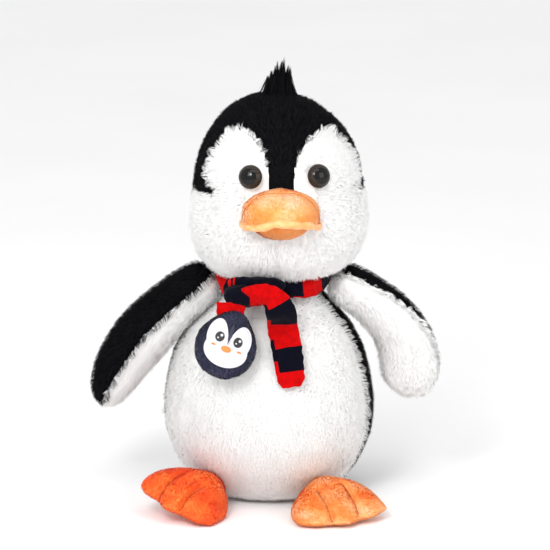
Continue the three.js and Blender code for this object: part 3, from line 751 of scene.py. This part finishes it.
def build_bill(part, cloth, low, high, inset, smooth, squash):
    nodes = [f"{part}_bill", f"{part}_bill_stuffing"]
    bill = stuffed(f"{part}_bill_skin", nodes, 2.2 * MM, inset, smooth=smooth, pressure=2, cap=1 * MM)
    bill.data.materials.append(cloth)
    set_points(bill, drooped(points_of(bill), low, high, squash))
    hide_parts(*nodes)
    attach(bill, "head")
    return bill


def build_beak():
    low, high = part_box("upper_bill")
    beak_tones = pile_tones("beak_nap", [BEAK_LIGHT, BEAK_DARK, (0.95, 0.42, 0.14)], 0.8, 0.2)
    satin_tones = [BEAK_DARK, (0.96, 0.4, 0.1), BEAK_LIGHT, (0.98, 0.64, 0.38)]
    satin = velboa("beak_satin", satin_tones, 38, (0.36, 0.62))
    deep = velboa("beak_under", [(0.85, 0.26, 0.06), (0.93, 0.36, 0.12)], 60)
    terry = velboa("beak_terry", [(0.93, 0.36, 0.1), (0.97, 0.52, 0.22)], 140)
    upper = build_bill("upper", satin, low, high, inset=0.3 * MM, smooth=10, squash=0.88)
    lower = build_bill("lower", deep, low, high, inset=0.0, smooth=8, squash=1.0)
    beak_seam(upper, low, high)
    lip = beak_lip(low, high, terry)
    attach(lip, "head")
    nap("beak_lip_nap", lip, "head", "beak_velboa", beak_tones, 7, 510, 1.6 * MM)

    def clear_of_face(points):
        return points[:, 1] < high.y - 6 * MM

    nap("upper_bill_nap", upper, "head", "beak_velboa", beak_tones, 2.5, 520, 0.9 * MM, clear_of_face)
    nap("lower_bill_nap", lower, "head", "beak_velboa", beak_tones[1:], 3.5, 530, 1.1 * MM, clear_of_face)


def beak_seam(upper, low, high):
    """The stitched line just inside the upper bill's outline."""
    half_x, cx = (high.x - low.x) / 2, (low.x + high.x) / 2
    top = points_of(upper)[:, 2].max() - low.z

    def line(lift):
        tree = tree_of(upper)
        found = []
        for angle in np.linspace(0.02 * math.pi, 0.98 * math.pi, 60):
            x = cx + half_x * 0.93 * math.copysign(abs(math.cos(angle)) ** 0.8, math.cos(angle))
            z = low.z + top * 0.93 * math.sin(angle) ** 0.75 - BEAK_DROOP * math.cos(angle) ** 2 * 0.6
            hit, normal, *_ = tree.ray_cast(Vector((x, -0.3, z)), Vector((0, 1, 0)))
            if hit is not None:
                found.append(np.array(hit + normal * lift))
        return found

    pressed_line(upper, line(0), 0.9 * MM, 1.3 * MM)
    dark = principled("beak_thread", (0.5, 0.11, 0.02), 0.7)
    mottle(dark, [(0.42, 0.08, 0.015), (0.6, 0.16, 0.03)], 800)
    thread("beak_stitch", line(0.05 * MM), 0.28 * MM, dark, "head")


LIP_ROLL = (2.6 * MM, 3.0 * MM)  # a half of its depth and of its height


def beak_lip(low, high, material):
    """The turned seam where the two bills meet: a soft wavy roll round the beak's edge."""
    cx, half_x = (low.x + high.x) / 2, (high.x - low.x) / 2
    reach = high.y - low.y + 2 * MM

    def surface(u, v):
        along = (v - 0.5) * math.pi
        x, y = math.sin(along), math.cos(along)
        wave = 1.3 * MM * math.sin(2.6 * along + 1.0) + 0.5 * MM * math.sin(7 * along + 2.0)
        ring = 2 * math.pi * u
        lumps = 1 + 0.1 * math.sin(11 * along) + 0.08 * math.sin(17 * along + 1)
        swell = lumps * (0.35 + 0.65 * max(y, 0.0) ** 0.35)
        out = LIP_ROLL[0] * math.cos(ring) * swell - 1.4 * MM
        up = LIP_ROLL[1] * math.sin(ring) * swell
        drop = BEAK_DROOP * x**2 - 1.0 * MM
        return (cx + (half_x + out) * x, high.y + 2 * MM - (reach + out) * y, low.z + wave + up - drop)

    lip = grid_mesh("beak_lip", surface, 18, 90, closed=True)
    lip.data.materials.append(material)
    return lip


# ---- feet

FOOT_TONES = {
    "left": [(0.95, 0.2, 0.015), (0.97, 0.34, 0.08), (0.98, 0.47, 0.18), (0.98, 0.56, 0.3)],
    "right": [(0.84, 0.06, 0.003), (0.92, 0.1, 0.005), (0.95, 0.15, 0.01), (0.96, 0.24, 0.04)],
}
FOOT_SEED = {"left": 610, "right": 650}
TOE_LINES = (0.34, 0.64)  # shares of the foot's width
STITCH = (0.36, 0.07, 0.01)


def on_skin(tree, point, lift=0.0):
    """The point of a skin straight below a point, raised by lift."""
    hit, normal, *_ = tree.ray_cast(Vector((point[0], point[1], 0.3)), Vector((0, 0, -1)))
    return None if hit is None else np.array(hit + normal * lift)


def foot_lines(side, tree):
    """The two stitched lines between the toes, side by side along the foot."""
    hinge = next(joint for joint in frame["joints"] if joint["name"] == f"foot_{side}_flex")
    ahead = np.array([-hinge["axis"][1], hinge["axis"][0], 0])
    aside = np.array([-ahead[1], ahead[0], 0])
    heel = np.array([*hinge["pos_m"][:2], 0])
    outline = points_of(frame["nodes"][f"foot_upper_{side}"]) - heel
    outline[:, 2] = 0
    across, along = outline @ aside, outline @ ahead
    lines = []
    for share in TOE_LINES:
        offset = across.min() + (across.max() - across.min()) * share
        far = along[np.abs(across - offset) < 4 * MM].max()
        line = [on_skin(tree, heel + aside * offset + ahead * far * t) for t in np.linspace(0.42, 0.97, 14)]
        lines.append([p for p in line if p is not None])
    return lines


def thread(name, path, radius, material, body):
    """A sewn thread that lies in its groove."""
    curve = bpy.data.curves.new(name, "CURVE")
    curve.dimensions = "3D"
    curve.bevel_depth = radius
    curve.bevel_resolution = 2
    spline = curve.splines.new("POLY")
    spline.points.add(len(path) - 1)
    for point, at in zip(spline.points, path):
        point.co = (*at, 1)
    obj = new_object(name, curve)
    mesh = bpy.data.meshes.new_from_object(obj)
    bpy.data.objects.remove(obj)
    piece = new_object(name, mesh)
    shade_smooth(piece)
    piece.data.materials.append(material)
    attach(piece, body)
    return piece


ANKLE_RAISE = 8 * MM


def raise_ankle(skin, side):
    """Lifts the back of the foot's outer side, where it is sewn up against the body."""
    low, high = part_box(f"foot_upper_{side}")
    outward = 1 if side == "left" else -1
    points = points_of(skin)
    back = smoothstep(low.y + 0.45 * (high.y - low.y), high.y, points[:, 1])
    outer = smoothstep(-0.2, 0.5, (points[:, 0] - (low.x + high.x) / 2) * outward / (high.x - low.x))
    points[:, 2] += ANKLE_RAISE * back * (0.35 + 0.65 * outer)
    set_points(skin, points)


def build_foot(side):
    body = f"foot_{side}"
    nodes = [f"foot_upper_{side}", f"foot_sole_{side}", f"foot_stuffing_{side}"]
    skin = stuffed(f"foot_{side}_skin", nodes, 2.0 * MM, -0.7 * MM, smooth=14, pressure=3, cap=2 * MM)
    raise_ankle(skin, side)
    lines = foot_lines(side, tree_of(skin))
    for line in lines:
        pressed_line(skin, line, 2.2 * MM, 2.4 * MM)
    velour = velboa(f"foot_velboa_{side}", FOOT_TONES[side], 42, (0.34, 0.66))
    skin.data.materials.append(velour)
    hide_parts(*nodes)
    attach(skin, body)
    tree = tree_of(skin)
    dark = principled(f"foot_thread_{side}", STITCH, 0.7)
    mottle(dark, [STITCH, (0.5, 0.1, 0.02)], 800)
    for i, line in enumerate(lines):
        laid = [on_skin(tree, p, 0.1 * MM) for p in line]
        piece = thread(f"foot_stitch_{side}_{i}", [p for p in laid if p is not None], 0.35 * MM, dark, body)
    tones = pile_tones(f"foot_nap_{side}", FOOT_TONES[side][:3], 0.8, 0.1)
    nap(f"foot_{side}_nap", skin, body, "orange_velboa", tones, 3, FOOT_SEED[side], 1.1 * MM)


# ---- scarf

RED = (0.52, 0.0012, 0.002)
NAVY = (0.0022, 0.0026, 0.008)


def fleece(name, colour):
    """Brushed flannel: a faint twill under a soft nap."""
    material = principled(name, colour, 0.95, Specular_IOR_Level=0.06, Sheen_Weight=0.04)
    shade = tuple(c * 0.72 for c in colour)
    mottle(material, [shade, colour], 260, (0.3, 0.6), detail=6)
    add_bump(material, noise_node(material, 1300, 4.0).outputs["Fac"], 0.35 * MM, 0.5)
    return material


SCARF_RED = fleece("scarf_red", RED)
SCARF_NAVY = fleece("scarf_navy", NAVY)
LOOP_RAISE = 14 * MM  # above the bottom of its CAD solid
LOOP_HEIGHT = 15 * MM
DRAWN = 6 * MM  # how much taller the band is where it is drawn into the knot
CHECK_TURN = 26  # degrees of the loop in one check
REACH = 0.15  # rays that find the loop's outside start this far from the neck


def strip(name, surface, columns, rows, is_navy, thickness, body, ride=True):
    """A strip of checked scarf cloth over surface(u, v): u runs along it and v across."""
    obj = grid_mesh(name, surface, columns, rows)
    centres = [((i + 0.5) / columns, (j + 0.5) / rows) for j in range(rows) for i in range(columns)]
    obj.data.polygons.foreach_set("material_index", [int(is_navy(u, v)) for u, v in centres])
    obj.data.materials.append(SCARF_RED)
    obj.data.materials.append(SCARF_NAVY)
    modified(obj, "SOLIDIFY", thickness=thickness, offset=0.0)
    modified(obj, "SUBSURF", levels=1)
    points = points_of(obj)
    set_points(obj, points + normals_of(obj) * (0.3 * MM * waves(points, 7 * MM, 31))[:, None])
    shade_smooth(obj)
    if ride:
        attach(obj, body)
    return obj


def build_scarf_loop():
    """The band round the neck, tucked under the chin, drawn down into the knot on the penguin's right."""
    tree = tree_of(frame["nodes"]["scarf_loop"])
    low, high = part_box("scarf_loop")
    level = (low.z + high.z) / 2

    def surface(u, v):
        angle = (u - 0.5) * 2 * math.pi
        out = Vector((math.sin(angle), -math.cos(angle), 0))
        start = Vector((NECK.x, NECK.y, level)) + out * REACH
        radius = REACH - (tree.ray_cast(start, -out)[0] - start).length
        drawn = math.exp(-(((angle + 0.85) / 0.42) ** 2))
        rising = 6 * MM * smoothstep(0.5, 1.3, abs(angle))
        bottom = low.z + LOOP_RAISE + rising - 7 * MM * drawn + 1.0 * MM * math.sin(4 * angle + 1)
        height = LOOP_HEIGHT + DRAWN * drawn - 0.4 * rising
        bulge = 2.6 * MM * math.sin(math.pi * v) ** 0.7 + 0.7 * MM * math.sin(3 * math.pi * v + 2 * angle)
        rise = Vector((0, 0, bottom + height * v - level))
        return start - out * (REACH - radius + 2 * MM + 5 * MM * v - bulge) + rise

    def navy(u, v):
        turn = (u - 0.5) * 360 + 1 + (8 if v < 0.12 else 0)
        return math.floor(turn / CHECK_TURN) % 2 == 0

    loop = strip("scarf_band", surface, 108, 12, navy, 1.6 * MM, "torso")
    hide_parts("scarf_loop")


def build_scarf_knot():
    """The wrap over the crossing: a plump roll in front, and a flatter one behind it under the chin."""
    low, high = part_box("scarf_knot")
    half = (high - low) / 2
    centre = (low + high) / 2
    wrap_centre = centre + Vector((-0.42 * half.x, 0, -0.5 * MM))
    over_centre = centre + Vector((-0.1 * half.x, 8 * MM, 6.5 * MM))

    def roll(middle_point, wide, tall, deep, slope, folds):
        def surface(u, v):
            along = u * 2 - 1
            ring = (v - 0.5) * 2 * math.pi * 0.96
            end = (1 - abs(along) ** 3) ** 0.45
            fold = 1 + 0.1 * math.cos(folds * ring + 1.4 * along) + 0.04 * math.sin(7 * ring)
            return (
                middle_point.x + wide * along,
                middle_point.y - deep * math.cos(ring) * end * fold - 2 * MM * (1 - along**2),
                middle_point.z + slope * along + tall * math.sin(ring) * end * fold)

        return surface

    wrap = strip(
        "scarf_wrap", roll(wrap_centre, 16 * MM, 7.5 * MM, 7 * MM, -0.5 * MM, 3), 30, 26,
        lambda u, v: u < 0.6, 1.4 * MM, "torso")
    over = strip(
        "scarf_over", roll(over_centre, 21 * MM, 5.5 * MM, 6 * MM, -1 * MM, 2), 30, 22,
        lambda u, v: u > 0.14 or 0.05 < u < 0.09, 1.4 * MM, "torso")
    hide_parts("scarf_knot")


STRAP_ENDS = [0.29, 0.495, 0.715, 0.886]  # where its checks change, as shares of its length
STRAP_OFFSET = 0.085
STRAP_WIDTH = 22.5 * MM


def build_scarf_tail():
    """The free end: it comes out of the knot, arches over to the left and hangs down the belly."""
    low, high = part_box("scarf_tail")
    knot_low, knot_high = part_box("scarf_knot")
    centre = (knot_low + knot_high) / 2
    front = knot_low.y + 0.5 * MM
    tree = tree_of(frame["nodes"]["scarf_tail"])

    def hanging(x, share):
        """A point of the hanging length, share of the way down, on the CAD tail's front."""
        z = high.z + (low.z - high.z) * share
        hit = tree.ray_cast(Vector((x, -0.3, max(z, low.z + 4 * MM))), Vector((0, 1, 0)))[0]
        return Vector((x, hit.y + 2 * MM, z))

    path = [
        Vector((centre.x - 11 * MM, front + 4 * MM, centre.z)),
        Vector((centre.x - 3 * MM, front, centre.z + 2.6 * MM)),
        Vector((centre.x + 5.5 * MM, front - 1.5 * MM, centre.z + 2.6 * MM)),
        Vector((centre.x + 12.5 * MM, front - 1.5 * MM, centre.z - 3 * MM)),
        Vector((low.x + 11.5 * MM, front + 0.5 * MM, high.z - 3 * MM)),
        hanging(low.x + 12.5 * MM, 0.28),
        hanging(low.x + 16 * MM, 0.57),
        hanging(low.x + 19.5 * MM, 1.02),
    ]
    widths = [13 * MM, 14 * MM, 16 * MM, 20 * MM, STRAP_WIDTH, STRAP_WIDTH, STRAP_WIDTH, 20 * MM]
    line = smooth_path(path, 90)
    lengths = np.concatenate([[0], np.cumsum(np.linalg.norm(np.diff(line, axis=0), axis=1))])
    lengths /= lengths[-1]
    wide = np.interp(np.linspace(0, len(path) - 1, len(line)), np.arange(len(path)), widths)

    def on_line(u):
        return np.array([np.interp(u, lengths, line[:, k]) for k in range(3)])

    def surface(u, v):
        along = unit(on_line(min(1, u + 0.03)) - on_line(max(0, u - 0.03)))
        across = unit(np.cross((0.0, -1.0, 0.0), along))
        face = unit(np.cross(along, across))
        s = 1 - v * 2
        end = max(0.0, (u - 0.9) / 0.1)
        half = np.interp(u, lengths, wide) / 2 * math.sqrt(1 - 0.55 * end**2.5)
        curl = 1.5 * MM * (1 - s**2) + 0.45 * MM * math.sin(11 * u + 3 * s)
        return on_line(u) + across * half * s + face * curl

    def navy(u, v):
        shifted = u + (STRAP_OFFSET if v > 0.86 else 0.0)
        return sum(shifted > end for end in STRAP_ENDS) % 2 == 1

    tail = strip("scarf_end", surface, 70, 14, navy, 1.8 * MM, "scarf_tail", ride=False)
    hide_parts("scarf_tail")
    pivot = Vector(next(j for j in frame["joints"] if j["name"] == "scarf_tail_lift")["pos_m"])
    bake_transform(tail)


def smooth_path(corners, count):
    """A Catmull-Rom curve through the corners."""
    ends = [corners[0] * 2 - corners[1], *corners, corners[-1] * 2 - corners[-2]]
    line = []
    for share in np.linspace(0, len(corners) - 1 - 1e-9, count):
        i = int(share)
        t = share - i
        a, b, c, d = ends[i : i + 4]
        square, cube = a * 2 - b * 5 + c * 4 - d, b * 3 - a - c * 3 + d
        line.append((b * 2 + (c - a) * t + square * t**2 + cube * t**3) / 2)
    return np.array(line)


# ---- charm

CHARM_TILT = math.radians(20)
CHARM_LEAN = math.radians(-19)
CHARM_NAVY = (0.022, 0.025, 0.06)


class CharmFace:
    """The charm's own flat picture plane, laid on its padded front."""

    def __init__(self, skin):
        low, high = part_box("charm_front")
        self.centre = (low + high) / 2
        turn = Matrix.Rotation(CHARM_TILT, 3, "Y") @ Matrix.Rotation(CHARM_LEAN, 3, "X")
        self.across = turn @ Vector((1, 0, 0))
        self.out = turn @ Vector((0, -1, 0))
        self.up = turn @ Vector((0, 0, 1))
        self.tree = tree_of(skin)

    def at(self, a, b, lift=0.0):
        """The point a across and b up from the middle, in millimetres, raised by lift in metres."""
        start = self.centre + (self.across * a + self.up * b) * MM + self.out * 0.03
        hit = self.tree.ray_cast(start, -self.out)[0]
        if hit is None:
            hit = start - self.out * 0.03
        return hit + self.out * lift


def applique(name, face, centre, outline, lift, thickness, material, columns=48, rows=7):
    """A sewn-on or embroidered shape, domed, with its edge drawn down to the cloth. outline(angle) is
    its radius, in millimetres."""

    def surface(u, v):
        angle = u * 2 * math.pi
        radius = outline(angle) * min(1.0, v * 1.12)
        down = thickness * (1 - max(0.0, (v - 0.82) / 0.18) ** 2) - (0.4 * MM if v > 0.99 else 0)
        return face.at(
            centre[0] + radius * math.cos(angle), centre[1] + radius * math.sin(angle), lift + down)

    obj = grid_mesh(name, surface, columns, rows, closed=True)
    obj.data.materials.append(material)
    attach(obj, "charm")
    return obj


def ellipse(wide, tall):
    return lambda angle: 1 / math.hypot(math.cos(angle) / wide, math.sin(angle) / tall)


def exit_of(circle, angle):
    """How far a ray from the origin goes until it leaves an ellipse, given as in PATCH_SHAPES."""
    cx, cy, wide, tall = circle
    dx, dy = math.cos(angle) / wide, math.sin(angle) / tall
    ox, oy = -cx / wide, -cy / tall
    a, b, c = dx * dx + dy * dy, 2 * (ox * dx + oy * dy), ox * ox + oy * oy - 1
    root = b * b - 4 * a * c
    return 0.0 if root < 0 else max(0.0, (-b + math.sqrt(root)) / (2 * a))


# The white face is two lobes over a wide oval, each as centre x, y, half width, half height in millimetres.
PATCH_SHAPES = [(-7.6, 9.5, 8.6, 12.5), (8.2, 8.5, 8.0, 12.0), (0.2, 0.0, 15.8, 12.0)]
PATCH_ORIGIN = (0.5, -4.5)
NOTCH_AT = math.radians(92)
NOTCH_WIDTH = math.radians(12)
NOTCH_DEPTH = 0.84


def patch_outline(angle):
    notch = math.exp(-(((angle - NOTCH_AT) / NOTCH_WIDTH) ** 2))
    return max(exit_of(shape, angle) for shape in PATCH_SHAPES) * (1 - NOTCH_DEPTH * notch)


def embroidery(name, colour):
    """Satin stitch: fine parallel threads with a soft shine."""
    material = principled(name, colour, 0.45, Sheen_Weight=0.2)
    mottle(material, [tuple(c * 0.92 for c in colour), colour], 900, (0.3, 0.6))
    add_bump(material, noise_node(material, 900, 1.0, (1, 1, 6)).outputs["Fac"], 0.3 * MM, 0.6)
    return material


def narrow_top(skin):
    """Draws the charm in towards its hanging strap, so that it is egg-shaped."""
    turn = Matrix.Rotation(CHARM_TILT, 3, "Y")
    across, up = np.array(turn @ Vector((1, 0, 0))), np.array(turn @ Vector((0, 0, 1)))
    low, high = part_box("charm_front")
    points = points_of(skin)
    local = points - np.array((low + high) / 2)
    draw = 0.24 * smoothstep(2 * MM, 27 * MM, local @ up)
    set_points(skin, points - across * (draw * (local @ across))[:, None])


def build_charm():
    skin = stuffed("charm_skin", ["charm_front", "charm_back", "charm_stuffing"], 2.2 * MM, 0.3 * MM,
                   smooth=6, pressure=3, cap=1.5 * MM)
    cloth = velboa("charm_velboa", [(0.012, 0.014, 0.036), CHARM_NAVY, (0.04, 0.044, 0.095)], 60)
    skin.data.materials.append(cloth)
    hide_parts("charm_front", "charm_back", "charm_stuffing")
    narrow_top(skin)
    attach(skin, "charm")
    tones = pile_tones(
        "charm_nap", [(0.016, 0.018, 0.045), (0.01, 0.011, 0.03), (0.028, 0.03, 0.068)], 0.85, 0.03)
    nap("charm_fuzz", skin, "charm", "navy_velboa", tones, 4, 810, 1.0 * MM)
    face = CharmFace(skin)
    white = embroidery("charm_white", (0.68, 0.68, 0.72))
    black = embroidery("charm_black", (0.008, 0.008, 0.01))
    orange = embroidery("charm_orange", (0.9, 0.24, 0.04))
    patch = applique("charm_patch", face, PATCH_ORIGIN, patch_outline, 0.5 * MM, 0.7 * MM, white, 144, 12)
    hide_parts("charm_face_patch")
    rim = []
    for angle in np.linspace(0, 2 * math.pi, 145):
        radius = patch_outline(angle)
        x = PATCH_ORIGIN[0] + radius * math.cos(angle)
        y = PATCH_ORIGIN[1] + radius * math.sin(angle)
        rim.append(face.at(x, y, 0.9 * MM))
    thread("charm_patch_rim", rim, 0.6 * MM, white, "charm")
    blaze = velboa("charm_blaze", [(0.014, 0.016, 0.042), CHARM_NAVY], 60)
    applique("charm_blaze", face, (0.5, 7.0), ellipse(1.5, 9.5), 0.9 * MM, 0.5 * MM, blaze, 40, 6)
    spark, glint, blush, bill = ellipse(1.15, 1.15), ellipse(0.7, 0.7), ellipse(2.1, 0.9), ellipse(3.9, 2.3)
    for side, x in (("right", -6.6), ("left", 7.4)):
        applique(f"charm_eye_{side}", face, (x, 3.6), ellipse(3.5, 3.9), 1.0 * MM, 0.6 * MM, black)
        applique(f"charm_spark_{side}", face, (x + 1.0, 4.9), spark, 1.6 * MM, 0.3 * MM, white, 16, 4)
        applique(f"charm_glint_{side}", face, (x - 1.1, 2.4), glint, 1.6 * MM, 0.3 * MM, white, 12, 4)
        applique(f"charm_blush_{side}", face, (x * 1.42, -3.0), blush, 1.0 * MM, 0.4 * MM, orange, 24, 4)

    def drawn_down(angle):
        return bill(angle) * (1 - 0.12 * math.sin(angle))

    applique("charm_beak", face, (0.6, -3.6), drawn_down, 1.0 * MM, 0.9 * MM, orange)
    build_charm_tab()


def build_charm_tab():
    """The short strip of scarf cloth that the charm hangs by."""
    low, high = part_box("charm_tab")
    centre = (low + high) / 2

    def surface(u, v):
        s = v * 2 - 1
        drop = u * (high.z - low.z + 10 * MM)
        y = centre.y - 9 * MM - 9 * MM * u + 2.0 * MM * s**2
        return (centre.x + s * 11 * MM * (1 - 0.15 * u) - 1 * MM, y, high.z + 4 * MM - drop)

    tab = strip("charm_strap", surface, 8, 6, lambda u, v: False, 1.2 * MM, "charm")
    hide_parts("charm_tab")


# ---- stage

CAMERA_ELEVATION = math.radians(12)
CAMERA_DISTANCE = 2.5
CAMERA_VIEW_WIDTH = 0.4147  # at the toy
AIM = Vector((0.0071, 0.0243, 0.1655))
WORLD_STRENGTH = 0.92


def build_stage():
    floor = grid_mesh("floor", lambda u, v: ((u - 0.5) * 12, (v - 0.5) * 12, 0), 2, 2)
    material = principled("floor", (0.93, 0.93, 0.93), 0.9)
    mottle(material, [(0.92, 0.92, 0.92), (0.94, 0.94, 0.94)], 3)
    floor.data.materials.append(material)
    world = bpy.data.worlds.new("studio")
    bpy.context.scene.world = world
    world.use_nodes = True
    world.node_tree.nodes["Background"].inputs["Color"].default_value = (1, 1, 1, 1)
    world.node_tree.nodes["Background"].inputs["Strength"].default_value = WORLD_STRENGTH


def area_light(name, place, size, power):
    """A rectangular lamp of a size in metres and a power in watts, turned to the middle of the toy."""
    light = bpy.data.lights.new(name, "AREA")
    light.shape, light.size, light.size_y, light.energy = "RECTANGLE", size[0], size[1], power
    obj = new_object(name, light)
    obj.location = place
    obj.rotation_mode = "QUATERNION"
    obj.rotation_quaternion = (AIM - Vector(place)).to_track_quat("-Z", "Y")


def build_camera():
    data = bpy.data.cameras.new("camera")
    data.sensor_width = 36
    data.lens = data.sensor_width * CAMERA_DISTANCE / CAMERA_VIEW_WIDTH
    camera = new_object("camera", data)
    back = Vector((0, -math.cos(CAMERA_ELEVATION), math.sin(CAMERA_ELEVATION)))
    camera.location = AIM + back * CAMERA_DISTANCE
    camera.rotation_mode = "QUATERNION"
    camera.rotation_quaternion = (-back).to_track_quat("-Z", "Y")
    data.clip_start, data.clip_end = 0.05, 50
    bpy.context.scene.camera = camera


def build_lights():
    area_light("key", (-0.7, -1.6, 1.3), (1.0, 1.0), 12)
    area_light("overhead", (0.1, -1.0, 1.9), (1.3, 0.45), 5)
    area_light("catch_light", (-0.3, -0.95, 0.8), (0.26, 0.2), 3.2)
    area_light("fill", (1.3, -1.2, 0.7), (1.0, 1.0), 6)
    bpy.context.scene.view_settings.view_transform = "Standard"
    bpy.context.scene.cycles.diffuse_bounces = 10


build_camera()
build_stage()
build_lights()
build_body()
build_head()
for side in SIDES:
    build_wing(side)
    build_eye(side)
for side in SIDES:
    build_foot(side)
build_tuft()
build_beak()
build_scarf_loop()
build_scarf_knot()
build_scarf_tail()
build_charm()
